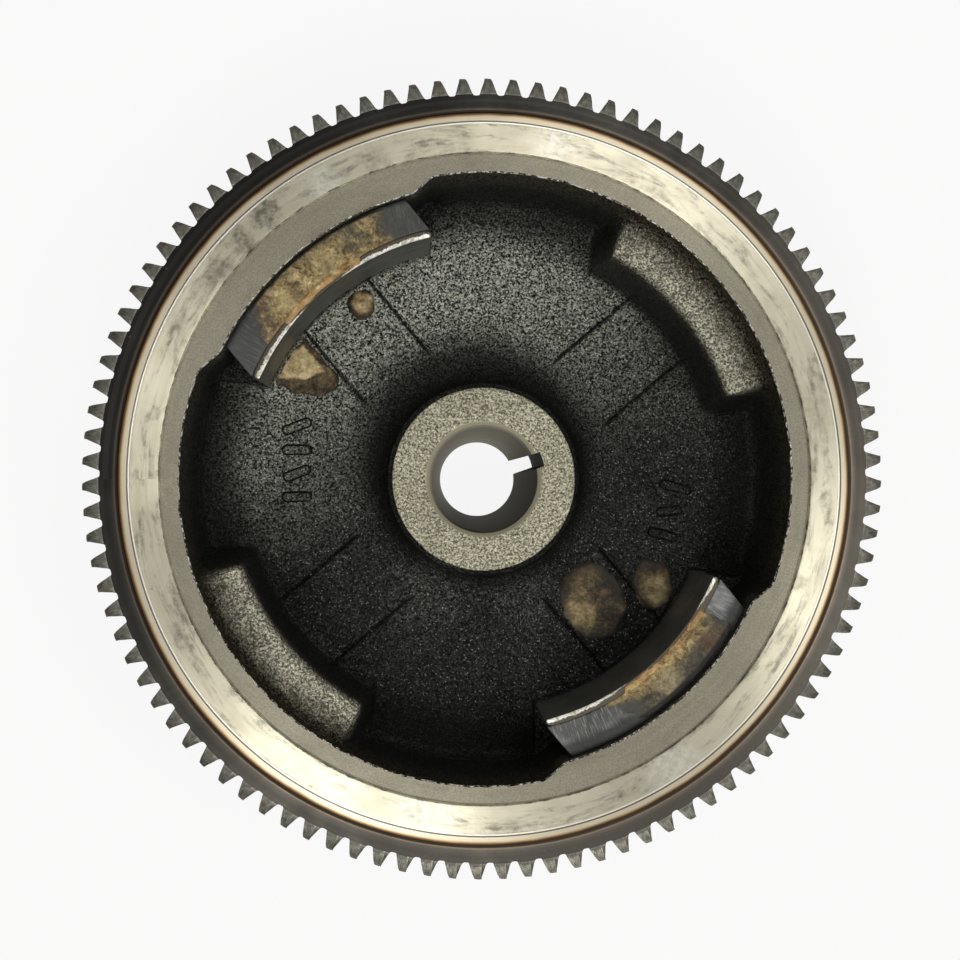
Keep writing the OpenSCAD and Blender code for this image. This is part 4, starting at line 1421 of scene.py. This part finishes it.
def buildMarkRow(material):
    # repeats a raised stroke along a row, every second one turned, each given a random length
    ins, outs = newTree("markRow", "Geometry", {"Geometry": "Geometry", "Count": "Int", "Spacing": "Float",
                                                "Lean": "Float", "Centre": "Vector", "Seed": "Int"},
                        {"Geometry": "Geometry"})
    index, lean = get("GeometryNodeInputIndex"), ins["Lean"]
    along = (index - (ins["Count"] - 1.0) * 0.5) * ins["Spacing"]
    offset = vector(along * calc("COSINE", lean), along * calc("SINE", lean))
    spots = get("GeometryNodePoints", {"Count": ins["Count"],
                                       "Position": vectorMath("ADD", offset, ins["Centre"])})
    leaning = vector(0.0, 0.0, calc("MODULO", index, 2.0) * 0.35 + math.pi / 2 + lean)
    length = get("FunctionNodeRandomValue", {2: 0.8, 3: 1.1, "Seed": ins["Seed"]}, 1, data_type="FLOAT")
    shape = get("GeometryNodeInstanceOnPoints", {"Points": spots, "Instance": ins["Geometry"],
                                                 "Rotation": leaning, "Scale": vector(length, 1.0, 1.0)})
    shape = get("GeometryNodeRealizeInstances", {"Geometry": shape})
    feed(outs["Geometry"], get("GeometryNodeSetMaterial", {"Geometry": shape, "Material": material}))


def makeMarks(material):
    buildMarkRow(material)
    for k, row in enumerate(marks["rows"]):
        piece = makeMarkBar(row["name"], row["length"], material)
        centre = (row["centre"][0] * mm, row["centre"][1] * mm, wheel["webTop"] * mm)
        grow(piece, "markRow", 50, {"Count": row["count"], "Spacing": row["spacing"] * mm,
                                    "Lean": math.radians(row["lean"]), "Centre": centre, "Seed": 3 + k})
        rideOnly(piece)
    print("foundry marks made")


makeMarks(castingMaterials[castSkin])


coil = {"bevel": 0.25, "screwBevel": 0.18, "sheet": 0.5}


def makeLaminated():
    # stacked sheets of the ignition shoes, oiled and lightly rusted on their edges
    where = newMaterial("laminatedSteel")
    _, height, _ = placeOf(where)
    wave = calc("SINE", height * (2 * math.pi / coil["sheet"]))
    sheets = step(wave, -0.95, -0.35)
    rust = patches(where, 6.0, 0.42, 0.12)
    tone = noiseAt(get("ShaderNodeMapping", {"Vector": where, "Scale": (0.1, 0.1, 1)}), 1600.0, 2.0,
                   0.6)
    colour = blend(tone, (0.16, 0.155, 0.14), (0.38, 0.37, 0.34))
    colour = blend(rust * 0.6, colour, (0.16, 0.085, 0.04))
    colour = blend(sheets, (0.03, 0.027, 0.022), colour)
    return dress(colour=colour, metal=0.8, rough=0.42, normal=bump(sheets, 0.06, 0.8))


def makePotting():
    where = newMaterial("potting")
    flow = noiseAt(where, 260.0, 3.0, 0.55)
    dust = patches(where, 7.0, 0.4, 0.16)
    bubbles = get("ShaderNodeTexVoronoi", {"Vector": where, "Scale": 420.0}, "Distance")
    holes = step(bubbles, 0.1, 0.16)
    colour = blend(dust, (0.012, 0.011, 0.01), (0.06, 0.054, 0.046))
    return dress(colour=colour, rough=step(dust, 0.0, 1.0, 0.28, 0.55), specular=0.5,
                 normal=bump(holes, 0.12, 0.6, bump(flow, 0.5, 0.5)))


def makeZinc():
    where = newMaterial("platedSteel")
    cloud = patches(where, 3.5, 0.5, 0.2)
    rust = patches(where, 2.0, 0.3, 0.08)
    scratch = noiseAt(where, 2600.0, 3.0, 0.7)
    colour = blend(cloud, (0.42, 0.4, 0.33), (0.66, 0.64, 0.56))
    colour = blend(rust * 0.5, colour, (0.22, 0.13, 0.07))
    return dress(colour=colour, metal=0.9, rough=0.32, normal=bump(scratch, 0.03, 0.6))


def makeIgnition():
    laminated, potting, zinc = makeLaminated(), makePotting(), makeZinc()
    parts = (("ignition_magnet", "ignitionMagnet", ferrite, coil["bevel"], "ferrite"),
             ("ignition_pole_shoe_left", "ignitionShoeLeft", laminated, coil["bevel"], "laminated_steel"),
             ("ignition_pole_shoe_right", "ignitionShoeRight", laminated, coil["bevel"], "laminated_steel"),
             ("ignition_potting", "ignitionPotting", potting, 0.0, "potting"),
             ("pole_shoe_screw_left", "shoeScrewLeft", zinc, coil["screwBevel"], "plated_steel"),
             ("pole_shoe_screw_right", "shoeScrewRight", zinc, coil["screwBevel"], "plated_steel"))
    for node, name, material, bevel, slotName in parts:
        standFor(cadCopy(name, node, material, bevel), node)
    print("ignition pieces made")


makeIgnition()
